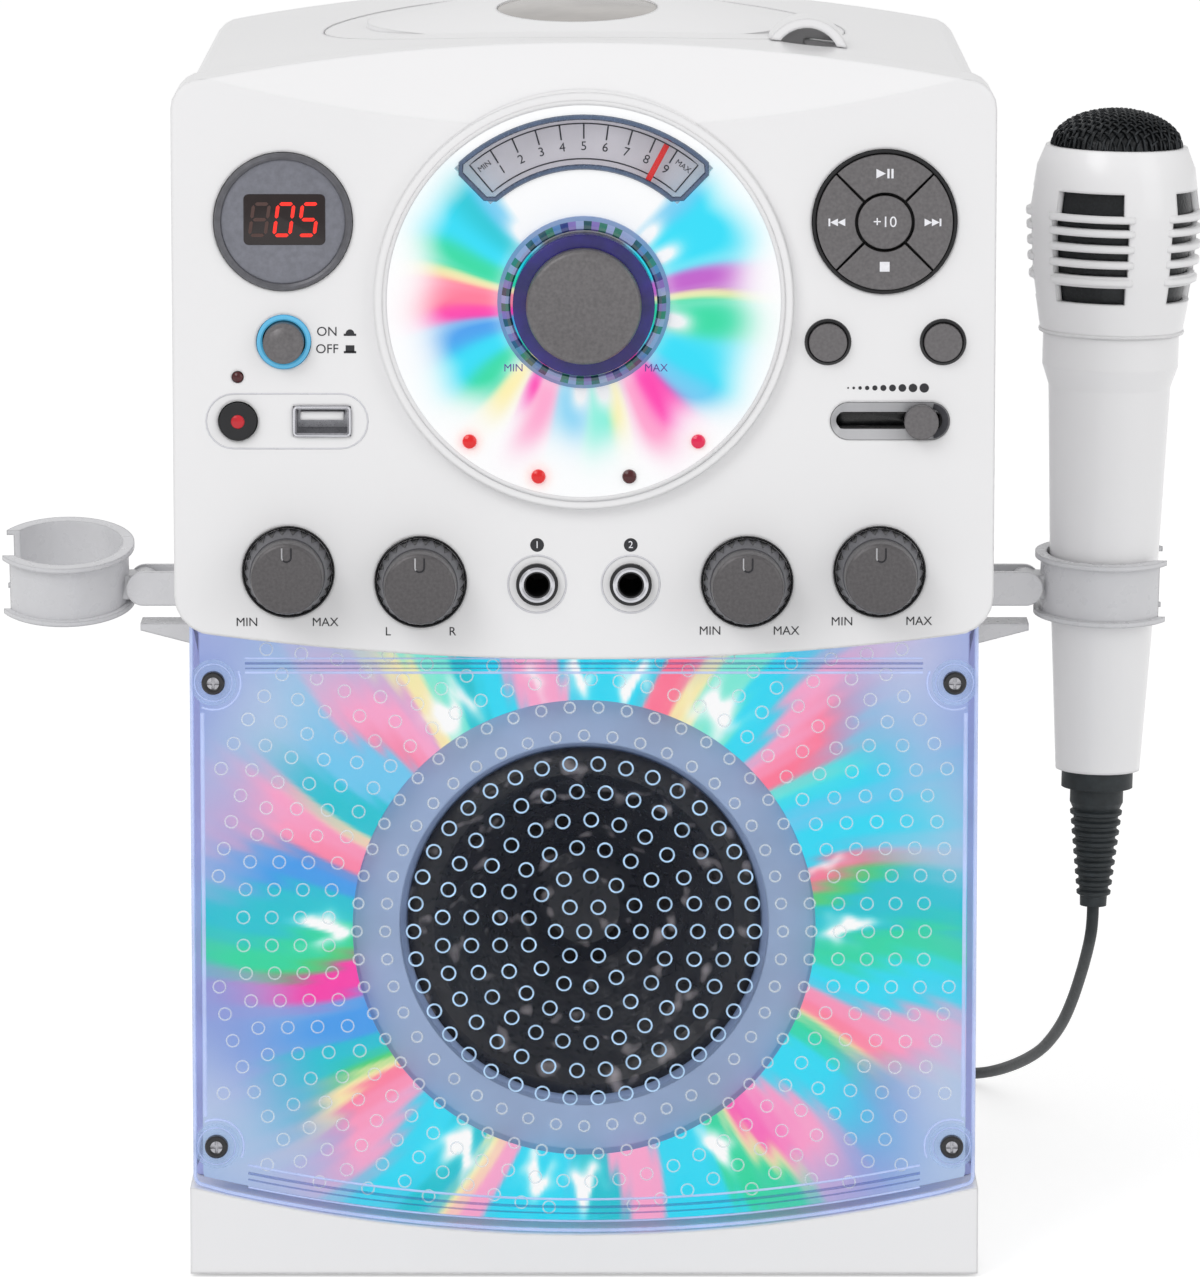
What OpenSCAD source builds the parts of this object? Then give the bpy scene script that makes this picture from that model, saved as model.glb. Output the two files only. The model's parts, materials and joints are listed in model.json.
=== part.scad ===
// Karaoke machine with a top-loading disc deck, a lit clear front and one microphone in its clip.
// Millimetres, +Z up, +X to the right seen from the front, the front faces -Y.
// The origin is on the floor under the middle of the cabinet.

/* [Cabinet] */
// Width of the lower cabinet
body_w = 220; // [212:1:232]
// How far the upper shell stands out past the cabinet on each side
upper_lip = 3; // [2.5:0.5:5]
// Depth from the baffle line back to the rear wall
cabinet_d = 180; // [172:1:200]
// Depth of the upper shell in front of the cabinet
fascia_d = 24; // [22:1:26]
// Height of the deck above the floor at its middle
deck_z = 344.7; // [343:0.5:350]
// Height of the upper shell's lower edge at its middle
split_z = 175.3; // [172:0.5:178]
// Height of the plinth at its corners
plinth_z = 25.4; // [22:0.5:30]
// Thickness of the moulded walls
wall = 2.5; // [2:0.1:3]
// Thickness of the front walls
front_wall = 3; // [2.6:0.1:3.4]
// How far the deck falls from its middle to its sides
deck_sag = 9; // [6:0.5:10]
// Gap between fixed pieces that fit in each other
fit = 0.2; // [0.15:0.05:0.3]
// Gap round pieces that move
run = 0.3; // [0.25:0.05:0.4]
// Gap between a shaft and its bore
bore_gap = 0.1; // [0.05:0.01:0.1]

/* [Feet] */
// Radius of a rubber foot
foot_r = 9; // [6:0.5:12]
// How far the feet hold the plinth off the floor
foot_out = 1; // [0.8:0.1:3]

/* [Speaker and clear panel] */
// Height of the speaker's centre above the floor
speaker_z = 98; // [94:1:102]
// Radius of the speaker's dark cone
cone_r = 51; // [46:1:53]
// Outer radius of the frosted ring round the speaker
ring_r = 66; // [64:1:70]
// Depth of the light chamber behind the clear panel
chamber_d = 16; // [14:1:17]
// Radius of a sound hole
sound_hole_r = 1.7; // [1.2:0.1:2]
// Distance from one ring of sound holes to the next
sound_ring_step = 7.9; // [7.5:0.1:9.5]
// Length of a panel screw's shank
screw_len = 22; // [20:1:26]

/* [Dial] */
// Height of the dial's centre above the floor
dial_z = 275; // [272:1:277]
// Radius of the lit dial pad
pad_r = 54.5; // [53:0.5:56]
// Outer radius of the gauge window
gauge_r = 51; // [50:0.5:51.5]
// Radial height of the gauge window
gauge_h = 14.2; // [12:0.2:15]
// Half of the gauge window's angle
gauge_half = 44; // [40:1:46]
// Outer radius of the crystal ring
crystal_r = 23.7; // [22.5:0.1:25]
// Radius of the volume knob's tinted skirt
skirt_r = 19.4; // [18:0.1:20]
// Radius of the volume knob's cap
cap_r = 16.5; // [14:0.1:17]
// Angle of the needle from upright at rest
needle_rest = 28; // [20:1:30]
// Gear module
gear_module = 0.6; // [0.58:0.01:0.62]
// Teeth of the pinions
pinion_teeth = 15;
// Teeth of the wheels
wheel_teeth = 28;

/* [Controls] */
// Radius of the knob and pot shafts
shaft_r = 3; // [2.5:0.1:3.2]
// Radius of the small knobs' fluted skirt
small_skirt_r = 12; // [11:0.1:12.4]
// Radius of the small knobs' cap
small_cap_r = 10.5; // [9:0.1:11]
// How far the small knobs stand out of the front
small_knob_out = 14; // [11:0.5:16]
// Distance of the outer small knobs from the middle
outer_knob_x = 81.5; // [78:0.5:84]
// Distance of the inner small knobs from the middle
inner_knob_x = 45; // [42:0.5:48]
// Height of the outer small knobs above the upper shell's lower edge
outer_knob_up = 24.4; // [23:0.2:26]
// Distance of the display and the transport pad from the middle
side_x = 82.4; // [80:0.5:85]
// Height of the display and the transport pad above the dial's centre
side_up = 21.7; // [19:0.5:24]
// Outer radius of the display's bezel
display_r = 19; // [18:0.1:20]
// Outer radius of the transport buttons
pad_button_r = 18.6; // [17:0.1:19]
// Radius of the pad's middle button
skip_r = 7.3; // [6:0.1:8]
// Gap between the transport buttons
pad_gap = 0.9; // [0.7:0.1:1.2]
// Radius of the round buttons
button_r = 5.2; // [4.5:0.1:5.6]
// Travel of the sprung buttons
press = 0.8; // [0.5:0.1:1]
// Travel of the power button
power_press = 3; // [2:0.5:3]
// Travel of the light slider
slider_travel = 19.5; // [18:0.5:20]
// Radius of the slider's knob
slider_r = 4.7; // [4:0.1:5]
// Radius of the microphone sockets' bore
jack_r = 3.25; // [3.2:0.01:3.3]

/* [Disc deck] */
// Radius of the disc that the deck takes
disc_r = 60; // [58:1:61]
// Radius of the round lid
lid_r = 74; // [72:0.5:76]
// Height of the lid's crown above the deck
lid_rise = 6.3; // [5:0.1:8]
// Wall of the lid
lid_wall = 2.2; // [1.8:0.1:2.5]
// Radius of the spindle that centres the disc
spindle_r = 7.4; // [7.3:0.01:7.45]
// Travel of the laser pickup
pickup_travel = 33; // [28:1:33]
// Radius of the hinge pin
hinge_r = 1.8; // [1.5:0.1:2]

/* [Microphone] */
// Distance of the microphone's axis from the cabinet's side, at the ring
mic_out = 39.45; // [38.5:0.05:41]
// Height of the cord end of the microphone above the floor
mic_z = 86.5; // [84:0.5:89]
// Sideways lean of the microphone in its clip
mic_lean = 1.24; // [1:0.02:1.5]
// Length of the strain relief
bush_len = 40.3; // [38:0.1:44]
// Radius of the handle at its lower end
handle_low_r = 12.15; // [11.5:0.05:12.5]
// Radius of the handle at the clip
handle_mid_r = 15.5; // [15:0.05:15.6]
// Radius of the handle under the head
handle_top_r = 17.5; // [17:0.1:18]
// Largest radius of the head
head_r = 24.35; // [23.5:0.05:24.8]
// Wall of the microphone's handle and head
mic_wall = 2; // [1.6:0.1:2.2]

/* [Clips] */
// Radius of the clip's ring inside
clip_bore_r = 16.6; // [16.6:0.1:17]
// Height of the clip's ring
clip_h = 18; // [16:0.5:18]
// Width of the clip's mouth
clip_mouth = 19; // [16:0.5:21]
// Forward tilt of the empty left clip
left_tilt = 14; // [8:1:14]
// Forward tilt of the right clip
right_tilt = 4; // [2:0.5:4]
// Height of the clip pins above the floor
clip_pin_z = 180.4; // [178:0.2:182]

/* [Cord] */
// Diameter of the cord
cord_d = 3.5; // [3.2:0.1:3.8]
// Turns in each layer of the coil, with the half turn that climbs
layer_turns = 4.5; // [3.5:1:4.5]
// Distance from one turn of the coil to the next
turn_step = 4.45; // [4.4:0.01:4.6]

/* [Hidden] */

$fn = 48;
shell_color = [0.93, 0.93, 0.94];
grey_color = [0.45, 0.46, 0.48];
dark_color = [0.08, 0.08, 0.09];
clip_color = [0.84, 0.84, 0.85];
board_color = [0.1, 0.35, 0.2];

// depth lines, from the front to the back
body_half = body_w / 2;
upper_half = body_half + upper_lip;
joint_y = -80;
fascia_y = joint_y - fascia_d;
fascia_back = fascia_y + front_wall;
panel_y = fascia_back + 1;
baffle_y = panel_y + chamber_d;
baffle_t = joint_y - baffle_y;
rear_y = joint_y + cabinet_d;
plinth_y = fascia_y + 2;
board_y = fascia_y + 14;
board_t = 1.6;
rear_round = 12;

// heights
panel_top = split_z + 11;
panel_low = plinth_z - 13.2;
panel_half = body_half - 0.7;
cabinet_top = deck_z - 16.7;
small_knob_drop = 2.8;
outer_knob_z = split_z + outer_knob_up;
inner_knob_z = outer_knob_z - small_knob_drop;
jack_z = inner_knob_z - 0.6;
jack_x = 12.9;
side_z = dial_z + side_up;
button_z = dial_z - 11.5;
media_z = dial_z - 33.4;
record_x = -side_x - 12.7;
usb_x = -side_x + 10.4;
source_x = side_x - 15.4;
repeat_x = side_x + 16.2;
slider_x = side_x + 1.75;
slider_knob_x = side_x + 10.3;
record_lamp_z = media_z + 12.2;

// One outline serves every front piece: straight sides, rounded corners, arched bottom and top.
// half is the half width, low and high the heights at the middle, low_sag and high_sag how far
// the arches bend by the corners, and low_r and high_r the corner radii.
arc_steps = 10;
corner_steps = 5;
function arch(half, sag, x) =
    abs(sag) < 0.01 ? 0 : let (r = (half * half + sag * sag) / (2 * sag)) r - sqrt(r * r - x * x);
function corner(x, z, r, a0) =
    [for (i = [0:corner_steps]) let (a = a0 + 90 * i / corner_steps) [x + r * cos(a), z + r * sin(a)]];
function front_outline(half, low, high, low_sag, high_sag, low_r, high_r) =
    let (lw = half - low_r, hw = half - high_r, lz = low + low_sag, hz = high - high_sag)
    concat(
        [for (i = [-arc_steps:arc_steps]) let (x = lw * i / arc_steps) [x, low + arch(lw, low_sag, x)]],
        corner(lw, lz + low_r, low_r, 270),
        corner(hw, hz - high_r, high_r, 0),
        [for (i = [-arc_steps:arc_steps]) let (x = -hw * i / arc_steps) [x, high - arch(hw, high_sag, x)]],
        corner(-hw, hz - high_r, high_r, 90),
        corner(-lw, lz + low_r, low_r, 180));

// Shapes along Y, drawn in the front view
module along_y(y0, y1) {
    translate([0, y1, 0]) rotate([90, 0, 0]) linear_extrude(y1 - y0) children();
}
module rod_y(x, z, r, y0, y1) {
    translate([x, y1, z]) rotate([90, 0, 0]) cylinder(r = r, h = y1 - y0);
}
module ring_y(x, z, r, bore, y0, y1) {
    difference() {
        rod_y(x, z, r, y0, y1);
        rod_y(x, z, bore, y0 - 1, y1 + 1);
    }
}
module cone_y(x, z, r0, r1, y0, y1) {
    translate([x, y0, z]) rotate([-90, 0, 0]) cylinder(r1 = r0, r2 = r1, h = y1 - y0);
}
module block(x0, x1, y0, y1, z0, z1) {
    translate([x0, y0, z0]) cube([x1 - x0, y1 - y0, z1 - z0]);
}
module stadium_y(x, z, w, h, y0, y1) {
    rod_y(x - (w - h) / 2, z, h / 2, y0, y1);
    rod_y(x + (w - h) / 2, z, h / 2, y0, y1);
    block(x - (w - h) / 2, x + (w - h) / 2, y0, y1, z - h / 2, z + h / 2);
}

// Plan of the cabinet: square front, rounded rear corners
module plan(half, y0, y1, r) {
    translate([-half, y0]) square([2 * half, y1 - r - y0]);
    translate([r - half, y0]) square([2 * (half - r), y1 - y0]);
    for (s = [-1, 1]) translate([s * (half - r), y1 - r]) circle(r = r);
}

// Casings
low_sag = 6.7;
low_corner = 11;
high_corner = 8;
scoop_slope = 58;
scoop_r = 760;
scoop_z = dial_z + 47.5;
collar_w = 2.8;
collar_out = 3;
pad_front = fascia_y - 3.4;
pad_back = fascia_y - fit;
well_r = small_skirt_r + 0.8;
well_deep = 1.2;

module upper_outline(inset) {
    polygon(front_outline(upper_half - inset, split_z + inset, deck_z - inset, low_sag, deck_sag,
                          low_corner - inset, high_corner - inset));
}
// The sloped facet over the front is cut by one large cylinder that leans back
module scoop_cut(down) {
    translate([0, fascia_y, scoop_z - down])
        rotate([scoop_slope - 90, 0, 0])
            translate([0, -scoop_r, -60])
                cylinder(r = scoop_r, h = 160, $fn = 360);
}
module knob_places() {
    for (p = [[-outer_knob_x, outer_knob_z], [-inner_knob_x, inner_knob_z],
              [inner_knob_x, inner_knob_z], [outer_knob_x, outer_knob_z]])
        translate([p[0], 0, p[1]]) children();
}

// Front shell with every opening for the controls
dial_hole_r = pad_r - 2.5;
tub_r = pad_r + fit + collar_w;
tub_back = fascia_y + 10;
post_x = 58;
post_z = [dial_z + 25, dial_z - 60];
led_spots = [[-31.4, -38.6], [-12.5, -48.3], [12.5, -48.3], [31.4, -38.6]];
led_r = 2;
lamp_r = 1.5;
power_r = 5.6;
power_ring_r = 7.4;
display_hole_r = display_r + fit;
pad_cup_r = pad_button_r + 1.2;
track_w = 33;
track_h = 10.6;
usb_w = 15.5;
usb_h = 8;
barrel_r = 4.2;

module front_fascia() {
    color(shell_color) difference() {
        union() {
            difference() {
                along_y(fascia_y, joint_y) upper_outline(0);
                scoop_cut(0);
                difference() {
                    along_y(fascia_back, joint_y - 2) upper_outline(wall);
                    scoop_cut(wall / cos(scoop_slope));
                }
                along_y(joint_y - 2.5, joint_y + 1) upper_outline(wall + upper_lip);
            }
            ring_y(0, dial_z, tub_r, pad_r + fit, fascia_y - collar_out, tub_back);
            ring_y(0, dial_z, pad_r + 1, dial_hole_r, fascia_y, fascia_back);
            for (s = [-1, 1], z = post_z) rod_y(s * post_x, z, 3, fascia_back - 1, board_y);
        }
        rod_y(0, dial_z, dial_hole_r, fascia_y - 9, tub_back + 1);
        rod_y(0, dial_z, pad_r + fit, fascia_back, tub_back + 1);
        rod_y(0, dial_z, pad_r + fit, fascia_y - 9, fascia_y);
        block(-panel_half - fit, panel_half + fit, panel_y - fit, joint_y + 1, 0, panel_top + fit);
        knob_places() {
            rod_y(0, 0, well_r, fascia_y - 1, fascia_y + well_deep);
            rod_y(0, 0, shaft_r + run, fascia_y, fascia_back + 1);
        }
        for (s = [-1, 1]) rod_y(s * jack_x, jack_z, barrel_r + fit, fascia_y - 1, fascia_back + 1);
        rod_y(-side_x, side_z, display_hole_r, fascia_y - 1, fascia_back + 1);
        rod_y(side_x, side_z, pad_cup_r + fit, fascia_y - 1, fascia_back + 1);
        rod_y(-side_x, button_z, power_ring_r + fit, fascia_y - 1, fascia_back + 1);
        rod_y(record_x, media_z, button_r + run, fascia_y - 1, fascia_back + 1);
        rod_y(record_x, record_lamp_z, lamp_r + fit, fascia_y - 1, fascia_back + 1);
        for (x = [source_x, repeat_x]) rod_y(x, button_z, button_r + run, fascia_y - 1, fascia_back + 1);
        stadium_y(slider_x, media_z, track_w, track_h, fascia_y - 1, fascia_back + 1);
        block(usb_x - usb_w / 2 - fit, usb_x + usb_w / 2 + fit, fascia_y - 1, fascia_back + 1,
              media_z - usb_h / 2 - fit, media_z + usb_h / 2 + fit);
    }
}

// Cabinet: sides and back in one moulding, open at the front, top and bottom
vent_w = 34;
vent_h = 3;
vent_count = 6;
rear_panel_z = 120;
socket_step = 16;
standoff_x = 52;
standoff_z = [70, 160];
module cabinet_walls(low, high, inset) {
    translate([0, 0, low]) linear_extrude(high - low) difference() {
        plan(body_half, joint_y, rear_y, rear_round);
        translate([0, -inset]) plan(body_half - inset, joint_y - 1, rear_y, rear_round - inset);
    }
}
module rear_cabinet() {
    color(shell_color) difference() {
        union() {
            cabinet_walls(plinth_z, cabinet_top, wall);
            for (s = [-1, 1], z = standoff_z)
                rod_y(s * standoff_x, z, 3, rear_y - wall - 9.9, rear_y - wall + 0.5);
        }
        for (s = [-1, 1], i = [0:vent_count - 1])
            block(s * 55 - vent_w / 2, s * 55 + vent_w / 2, rear_y - wall - 1, rear_y + 1,
                  230 + 9 * i, 230 + 9 * i + vent_h);
        for (i = [-1:1])
            rod_y(i * socket_step - 20, rear_panel_z, rca_neck_r + fit, rear_y - wall - 1, rear_y + 1);
        rod_y(40, rear_panel_z, inlet_r + fit, rear_y - wall - 1, rear_y + 1);
    }
}

// Deck: a curved top with a stepped round well for the lid and the disc
lid_gap = 0.4;
lid_swing = 3.9;
recess_z = deck_z - 7.2;
well_in_r = disc_r + 4;
well_z = deck_z - 13.7;
floor_t = 2;
hub_hole_r = 17.5;
slot_x0 = 20;
slot_half = 9;
hinge_y = lid_r + 6;
hinge_z = deck_z - 5.7;
lug_x = 26;
lug_w = 8;
lug_r = 4;
arch_x = 62;
arch_z = deck_z - 8.2;
arch_y = [-58, -38];
arch_r = 12;
arch_bore = 9.4;
module deck_prism(inset) {
    along_y(joint_y, rear_y)
        polygon(front_outline(body_half - inset, 250, deck_z - inset, 0, deck_sag, 1,
                              high_corner - inset));
}
module deck_body(inset) {
    intersection() {
        deck_prism(inset);
        translate([0, -inset, 0]) linear_extrude(400)
            plan(body_half - inset, joint_y - inset - 1, rear_y, rear_round - inset);
    }
}
module rod_x(y, z, r, x0, x1) {
    translate([x0, y, z]) rotate([0, 90, 0]) cylinder(r = r, h = x1 - x0);
}
// Round seat of the lid, with the room behind it that its rear edge needs to swing up
module lid_recess(out, down) {
    for (y = [0, lid_swing])
        translate([0, y, recess_z - down]) cylinder(r = lid_r + lid_gap + out, h = 40);
}
// Round hollow under the lid's finger arch
module finger_scoop(r) {
    translate([arch_x, arch_y[0] + 7, arch_z + 5]) sphere(r = r);
}
module top_deck() {
    color(shell_color) {
        difference() {
            union() {
                difference() {
                    deck_body(0);
                    deck_body(wall);
                    block(-200, 200, -200, 200, 0, cabinet_top);
                }
                intersection() {
                    deck_body(0);
                    union() {
                        lid_recess(wall, floor_t);
                        translate([0, 0, well_z - floor_t]) cylinder(r = well_in_r + floor_t, h = 20);
                        finger_scoop(arch_bore + floor_t);
                        for (s = [-1, 1])
                            block(s * lug_x - 8, s * lug_x + 8, lid_r - 2, hinge_y + 9,
                                  hinge_z - 7.4, 400);
                    }
                }
            }
            lid_recess(0, 0);
            translate([0, 0, well_z]) cylinder(r = well_in_r, h = 40);
            translate([0, 0, well_z - 9]) cylinder(r = hub_hole_r, h = 40);
            finger_scoop(arch_bore);
            block(slot_x0 - 6, sled_rest + pickup_travel + lens_r + 2 * run, -slot_half, slot_half,
                  well_z - 9, well_z + 1);
            for (s = [-1, 1]) {
                x0 = s * lug_x - lug_w / 2 - run;
                x1 = s * lug_x + lug_w / 2 + run;
                block(x0, x1, lid_r - 3, hinge_y + lug_r + 1.5, hinge_z - lug_r - 0.7, 400);
                block(x0, x1, lid_r - 6, lid_r, recess_z, 400);
            }
        }
        for (s = [-1, 1]) rod_x(hinge_y, hinge_z, hinge_r, s * lug_x - 7, s * lug_x + 7);
    }
}

// Plinth: closed floor, arched front edge that the clear panel stands on
floor_plate = 4;
panel_arc_r = (pow(panel_half - 1.5, 2) + pow(plinth_z - panel_low, 2)) / (2 * (plinth_z - panel_low));
foot_seat = 2;
foot_x = body_half - 22;
foot_y = [plinth_y + 22, rear_y - 22];
module base_plinth() {
    color(shell_color) difference() {
        translate([0, 0, foot_out]) linear_extrude(plinth_z - foot_out)
            plan(body_half, plinth_y, rear_y, rear_round);
        translate([0, -wall, foot_out + floor_plate]) linear_extrude(plinth_z)
            plan(body_half - wall, joint_y + 2 * wall, rear_y, rear_round - wall);
        translate([0, joint_y, panel_low + panel_arc_r]) rotate([90, 0, 0])
            cylinder(r = panel_arc_r + fit, h = 40, $fn = 360);
        for (s = [-1, 1], y = foot_y)
            translate([s * foot_x, y, 0]) cylinder(r = foot_r + fit, h = foot_out + foot_seat);
    }
}
module feet() {
    color(dark_color) for (s = [-1, 1], y = foot_y)
        translate([s * foot_x, y, 0]) cylinder(r = foot_r, h = foot_out + foot_seat);
}

// Clear panel: a shallow tray with sound holes over the speaker and a post at each corner
screw_x = panel_half - 6.7;
screw_z = [panel_top - 18.2, plinth_z + 11.6];
screw_r = 1.7;
post_r = 5;
hole_rings = floor((cone_r - 3) / sound_ring_step);
module panel_outline(inset) {
    polygon(front_outline(panel_half - inset, panel_low + inset, panel_top - inset,
                          plinth_z - panel_low, 0, 1.5, 3 - inset * 0.9));
}
module clear_panel() {
    color([0.75, 0.85, 0.95, 0.35]) difference() {
        union() {
            difference() {
                along_y(panel_y, baffle_y) panel_outline(0);
                along_y(panel_y + front_wall, baffle_y + 1) panel_outline(wall);
            }
            for (s = [-1, 1], z = screw_z) rod_y(s * screw_x, z, post_r, panel_y + 1, baffle_y);
        }
        for (s = [-1, 1], z = screw_z)
            rod_y(s * screw_x, z, screw_r + fit, panel_y - 1, baffle_y + 1);
        rod_y(0, speaker_z, sound_hole_r, panel_y - 1, panel_y + front_wall + 1, $fn = 8);
        for (k = [1:hole_rings]) {
            n = round(2 * PI * k);
            for (i = [0:n - 1])
                translate([k * sound_ring_step * cos(360 * i / n), 0,
                           speaker_z + k * sound_ring_step * sin(360 * i / n)])
                    rod_y(0, 0, sound_hole_r, panel_y - 1, panel_y + front_wall + 1, $fn = 8);
        }
    }
}
module light_baffle() {
    color([0.72, 0.72, 0.92]) difference() {
        union() {
            along_y(baffle_y, joint_y) panel_outline(0);
            for (s = [-1, 1], z = screw_z)
                rod_y(s * screw_x, z, post_r - 1, joint_y - 1, panel_y + screw_len + 2);
        }
        rod_y(0, speaker_z, cone_r + 1, baffle_y - 1, joint_y + 1);
        for (s = [-1, 1], z = screw_z)
            rod_y(s * screw_x, z, screw_r + bore_gap, baffle_y - 1, panel_y + screw_len + 1);
    }
}
module panel_screws() {
    color("silver") for (s = [-1, 1], z = screw_z) {
        difference() {
            rod_y(s * screw_x, z, 3, panel_y - 1.6, panel_y);
            block(s * screw_x - 1.8, s * screw_x + 1.8, panel_y - 2, panel_y - 0.8, z - 0.35, z + 0.35);
            block(s * screw_x - 0.35, s * screw_x + 0.35, panel_y - 2, panel_y - 0.8, z - 1.8, z + 1.8);
        }
        rod_y(s * screw_x, z, screw_r, panel_y, panel_y + screw_len);
    }
}

// Speaker, turned about its own axis: [radius, depth behind the panel's front]
magnet_r = 34;
magnet_d = 22;
basket_d = 36;
cone_deep = 25;
module turned_y(x, y, z) {
    translate([x, y, z]) rotate([-90, 0, 0]) rotate_extrude($fn = 96) children();
}
module speaker_frame() {
    r = cone_r + 0.8;
    color([0.8, 0.82, 0.86]) turned_y(0, baffle_y, speaker_z)
        polygon([[cone_r + 0.5, -6], [ring_r - 2, -6], [ring_r, -4], [ring_r, 0], [r, 0], [r, 7.5],
                 [magnet_r, basket_d], [magnet_r, basket_d + magnet_d], [0, basket_d + magnet_d],
                 [0, basket_d + 2], [magnet_r - 2, basket_d - 0.5], [cone_r - 1.4, 6.5],
                 [cone_r - 1.4, -0.5], [cone_r + 0.5, -0.5]]);
}
module speaker_cone() {
    r = cone_r - 1.4 - fit;
    color(dark_color) turned_y(0, baffle_y, speaker_z)
        polygon([[r, -2], [r - 3.4, -3.5], [r - 7.4, -1.5], [16, cone_deep - 3], [10, cone_deep - 7],
                 [0, cone_deep - 9], [0, cone_deep - 7.8], [9.5, cone_deep - 5.8],
                 [14.5, cone_deep], [r - 7.4, 0], [r - 3.4, -2.2], [r, -0.7]]);
}

// Light boards: a ring of lamps round the speaker and a smaller ring behind the dial
lamp_ring_r = ring_r + 9;
lamp_count = 14;
dial_lamp_r = 38;
dial_lamps = 9;
module light_boards() {
    color([0.95, 0.95, 0.9]) {
        ring_y(0, speaker_z, lamp_ring_r + 5, lamp_ring_r - 5, baffle_y - 1.6, baffle_y);
        for (i = [0:lamp_count - 1]) {
            a = 360 * (i + 0.5) / lamp_count;
            rod_y(lamp_ring_r * cos(a), speaker_z + lamp_ring_r * sin(a), 2.5, baffle_y - 7,
                  baffle_y - 1.6);
        }
        for (i = [0:dial_lamps - 1]) {
            a = 90 + 360 * i / dial_lamps;
            rod_y(dial_lamp_r * cos(a), dial_z + dial_lamp_r * sin(a), 2.5, board_y - 5, board_y);
        }
    }
}

// Dial: a lit pad with a gauge in it, the plate behind and the clear parts in front
function arc_points(r, a0, a1, n) = [for (i = [0:n]) let (a = a0 + (a1 - a0) * i / n) [r * sin(a), r * cos(a)]];
module gauge_sector(inset) {
    half = gauge_half - inset / gauge_r * 57.3;
    translate([0, dial_z])
        polygon(concat(arc_points(gauge_r - inset, -half, half, 24),
                       arc_points(gauge_r - gauge_h + inset, half, -half, 20)));
}
plate_y = fascia_back;
needle_y = pad_back + run;
module led_holes(y0, y1) {
    for (p = led_spots) rod_y(p[0], dial_z + p[1], led_r + fit, y0, y1);
}
module dial_lens() {
    color([0.9, 0.95, 1]) difference() {
        rod_y(0, dial_z, pad_r, pad_front, pad_back);
        along_y(pad_front - 1, pad_back + 1) gauge_sector(0);
        rod_y(0, dial_z, shaft_r + 1, pad_front - 1, pad_back + 1);
        led_holes(pad_front - 1, pad_back + 1);
    }
}
module gauge_plate() {
    color([0.95, 0.95, 0.92]) difference() {
        rod_y(0, dial_z, pad_r, plate_y, plate_y + 1);
        rod_y(0, dial_z, 10.5, plate_y - 1, plate_y + 2);
        led_holes(plate_y - 1, plate_y + 2);
    }
}
module gauge_window() {
    color([0.85, 0.88, 0.92, 0.35]) along_y(pad_front, pad_front + 1.2) gauge_sector(fit);
}
module crystal_ring() {
    color([0.85, 0.9, 1, 0.5]) ring_y(0, dial_z, crystal_r, skirt_r + 0.6, pad_front - 4.6, pad_front);
}

// Volume knob, its pinion, the idler and the needle's wheel
mesh_distance = gear_module * (pinion_teeth + wheel_teeth) / 2;
tip = 0.8 * gear_module;
root = gear_module;
low_gear_y = board_y - 6.4;
high_gear_y = board_y - 9.6;
gear_t = 2.5;
module gear(teeth, first, y0, y1, x, z) {
    r = gear_module * teeth / 2;
    step = 360 / teeth;
    half_root = 0.29 * step;
    half_pitch = 0.215 * step;
    half_tip = 0.11 * step;
    translate([x, 0, z]) along_y(y0, y1)
        polygon([for (i = [0:teeth - 1], p = [[r - root, -half_root], [r, -half_pitch],
                                             [r + tip, -half_tip], [r + tip, half_tip],
                                             [r, half_pitch], [r - root, half_root]])
                 let (a = first + i * step + p[1]) [p[0] * cos(a), p[0] * sin(a)]]);
}
function first_tooth(teeth, angle) = angle % (360 / teeth);
module volume_knob() {
    color([0.3, 0.25, 0.75]) {
        rod_y(0, dial_z, skirt_r, pad_front - 8.6, pad_front - 0.6);
        rod_y(0, dial_z, shaft_r, pad_front - 1, board_y - 0.6);
        gear(pinion_teeth, first_tooth(pinion_teeth, 270), low_gear_y, low_gear_y + gear_t, 0, dial_z);
    }
}
module volume_cap() {
    color(grey_color) {
        cone_y(0, dial_z, cap_r - 1.2, cap_r, pad_front - 13.6, pad_front - 12.4);
        rod_y(0, dial_z, cap_r, pad_front - 12.4, pad_front - 8.6);
    }
}
module idler_gear() {
    z = dial_z - mesh_distance;
    color("white") difference() {
        union() {
            gear(wheel_teeth, first_tooth(wheel_teeth, 90 + 180 / wheel_teeth), low_gear_y,
                 low_gear_y + gear_t, 0, z);
            gear(pinion_teeth, first_tooth(pinion_teeth, 90 + 180 / pinion_teeth), high_gear_y,
                 low_gear_y + 0.1, 0, z);
        }
        rod_y(0, z, 1.5 + bore_gap, high_gear_y - 1, board_y);
    }
}
module gauge_needle() {
    color([0.9, 0.12, 0.1]) difference() {
        union() {
            rod_y(0, dial_z, 5.5, needle_y, high_gear_y + 0.1);
            gear(wheel_teeth, first_tooth(wheel_teeth, 270), high_gear_y, high_gear_y + gear_t, 0,
                 dial_z);
            translate([0, 0, dial_z]) rotate([0, needle_rest, 0])
                block(-0.8, 0.8, needle_y, needle_y + 0.8, 4, gauge_r - 2.6);
        }
        rod_y(0, dial_z, shaft_r + bore_gap, fascia_y - 9, board_y);
    }
}
module gear_bracket() {
    color(grey_color) difference() {
        union() {
            block(-10, 10, board_y - 2.5, board_y, dial_z - mesh_distance - 5, dial_z + 9);
            rod_y(0, dial_z, 6, board_y - 3.2, board_y);
            rod_y(0, dial_z - mesh_distance, 1.5, high_gear_y - 0.2, board_y);
        }
        rod_y(0, dial_z, shaft_r + bore_gap, board_y - 9, board_y + 1);
    }
}

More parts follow.
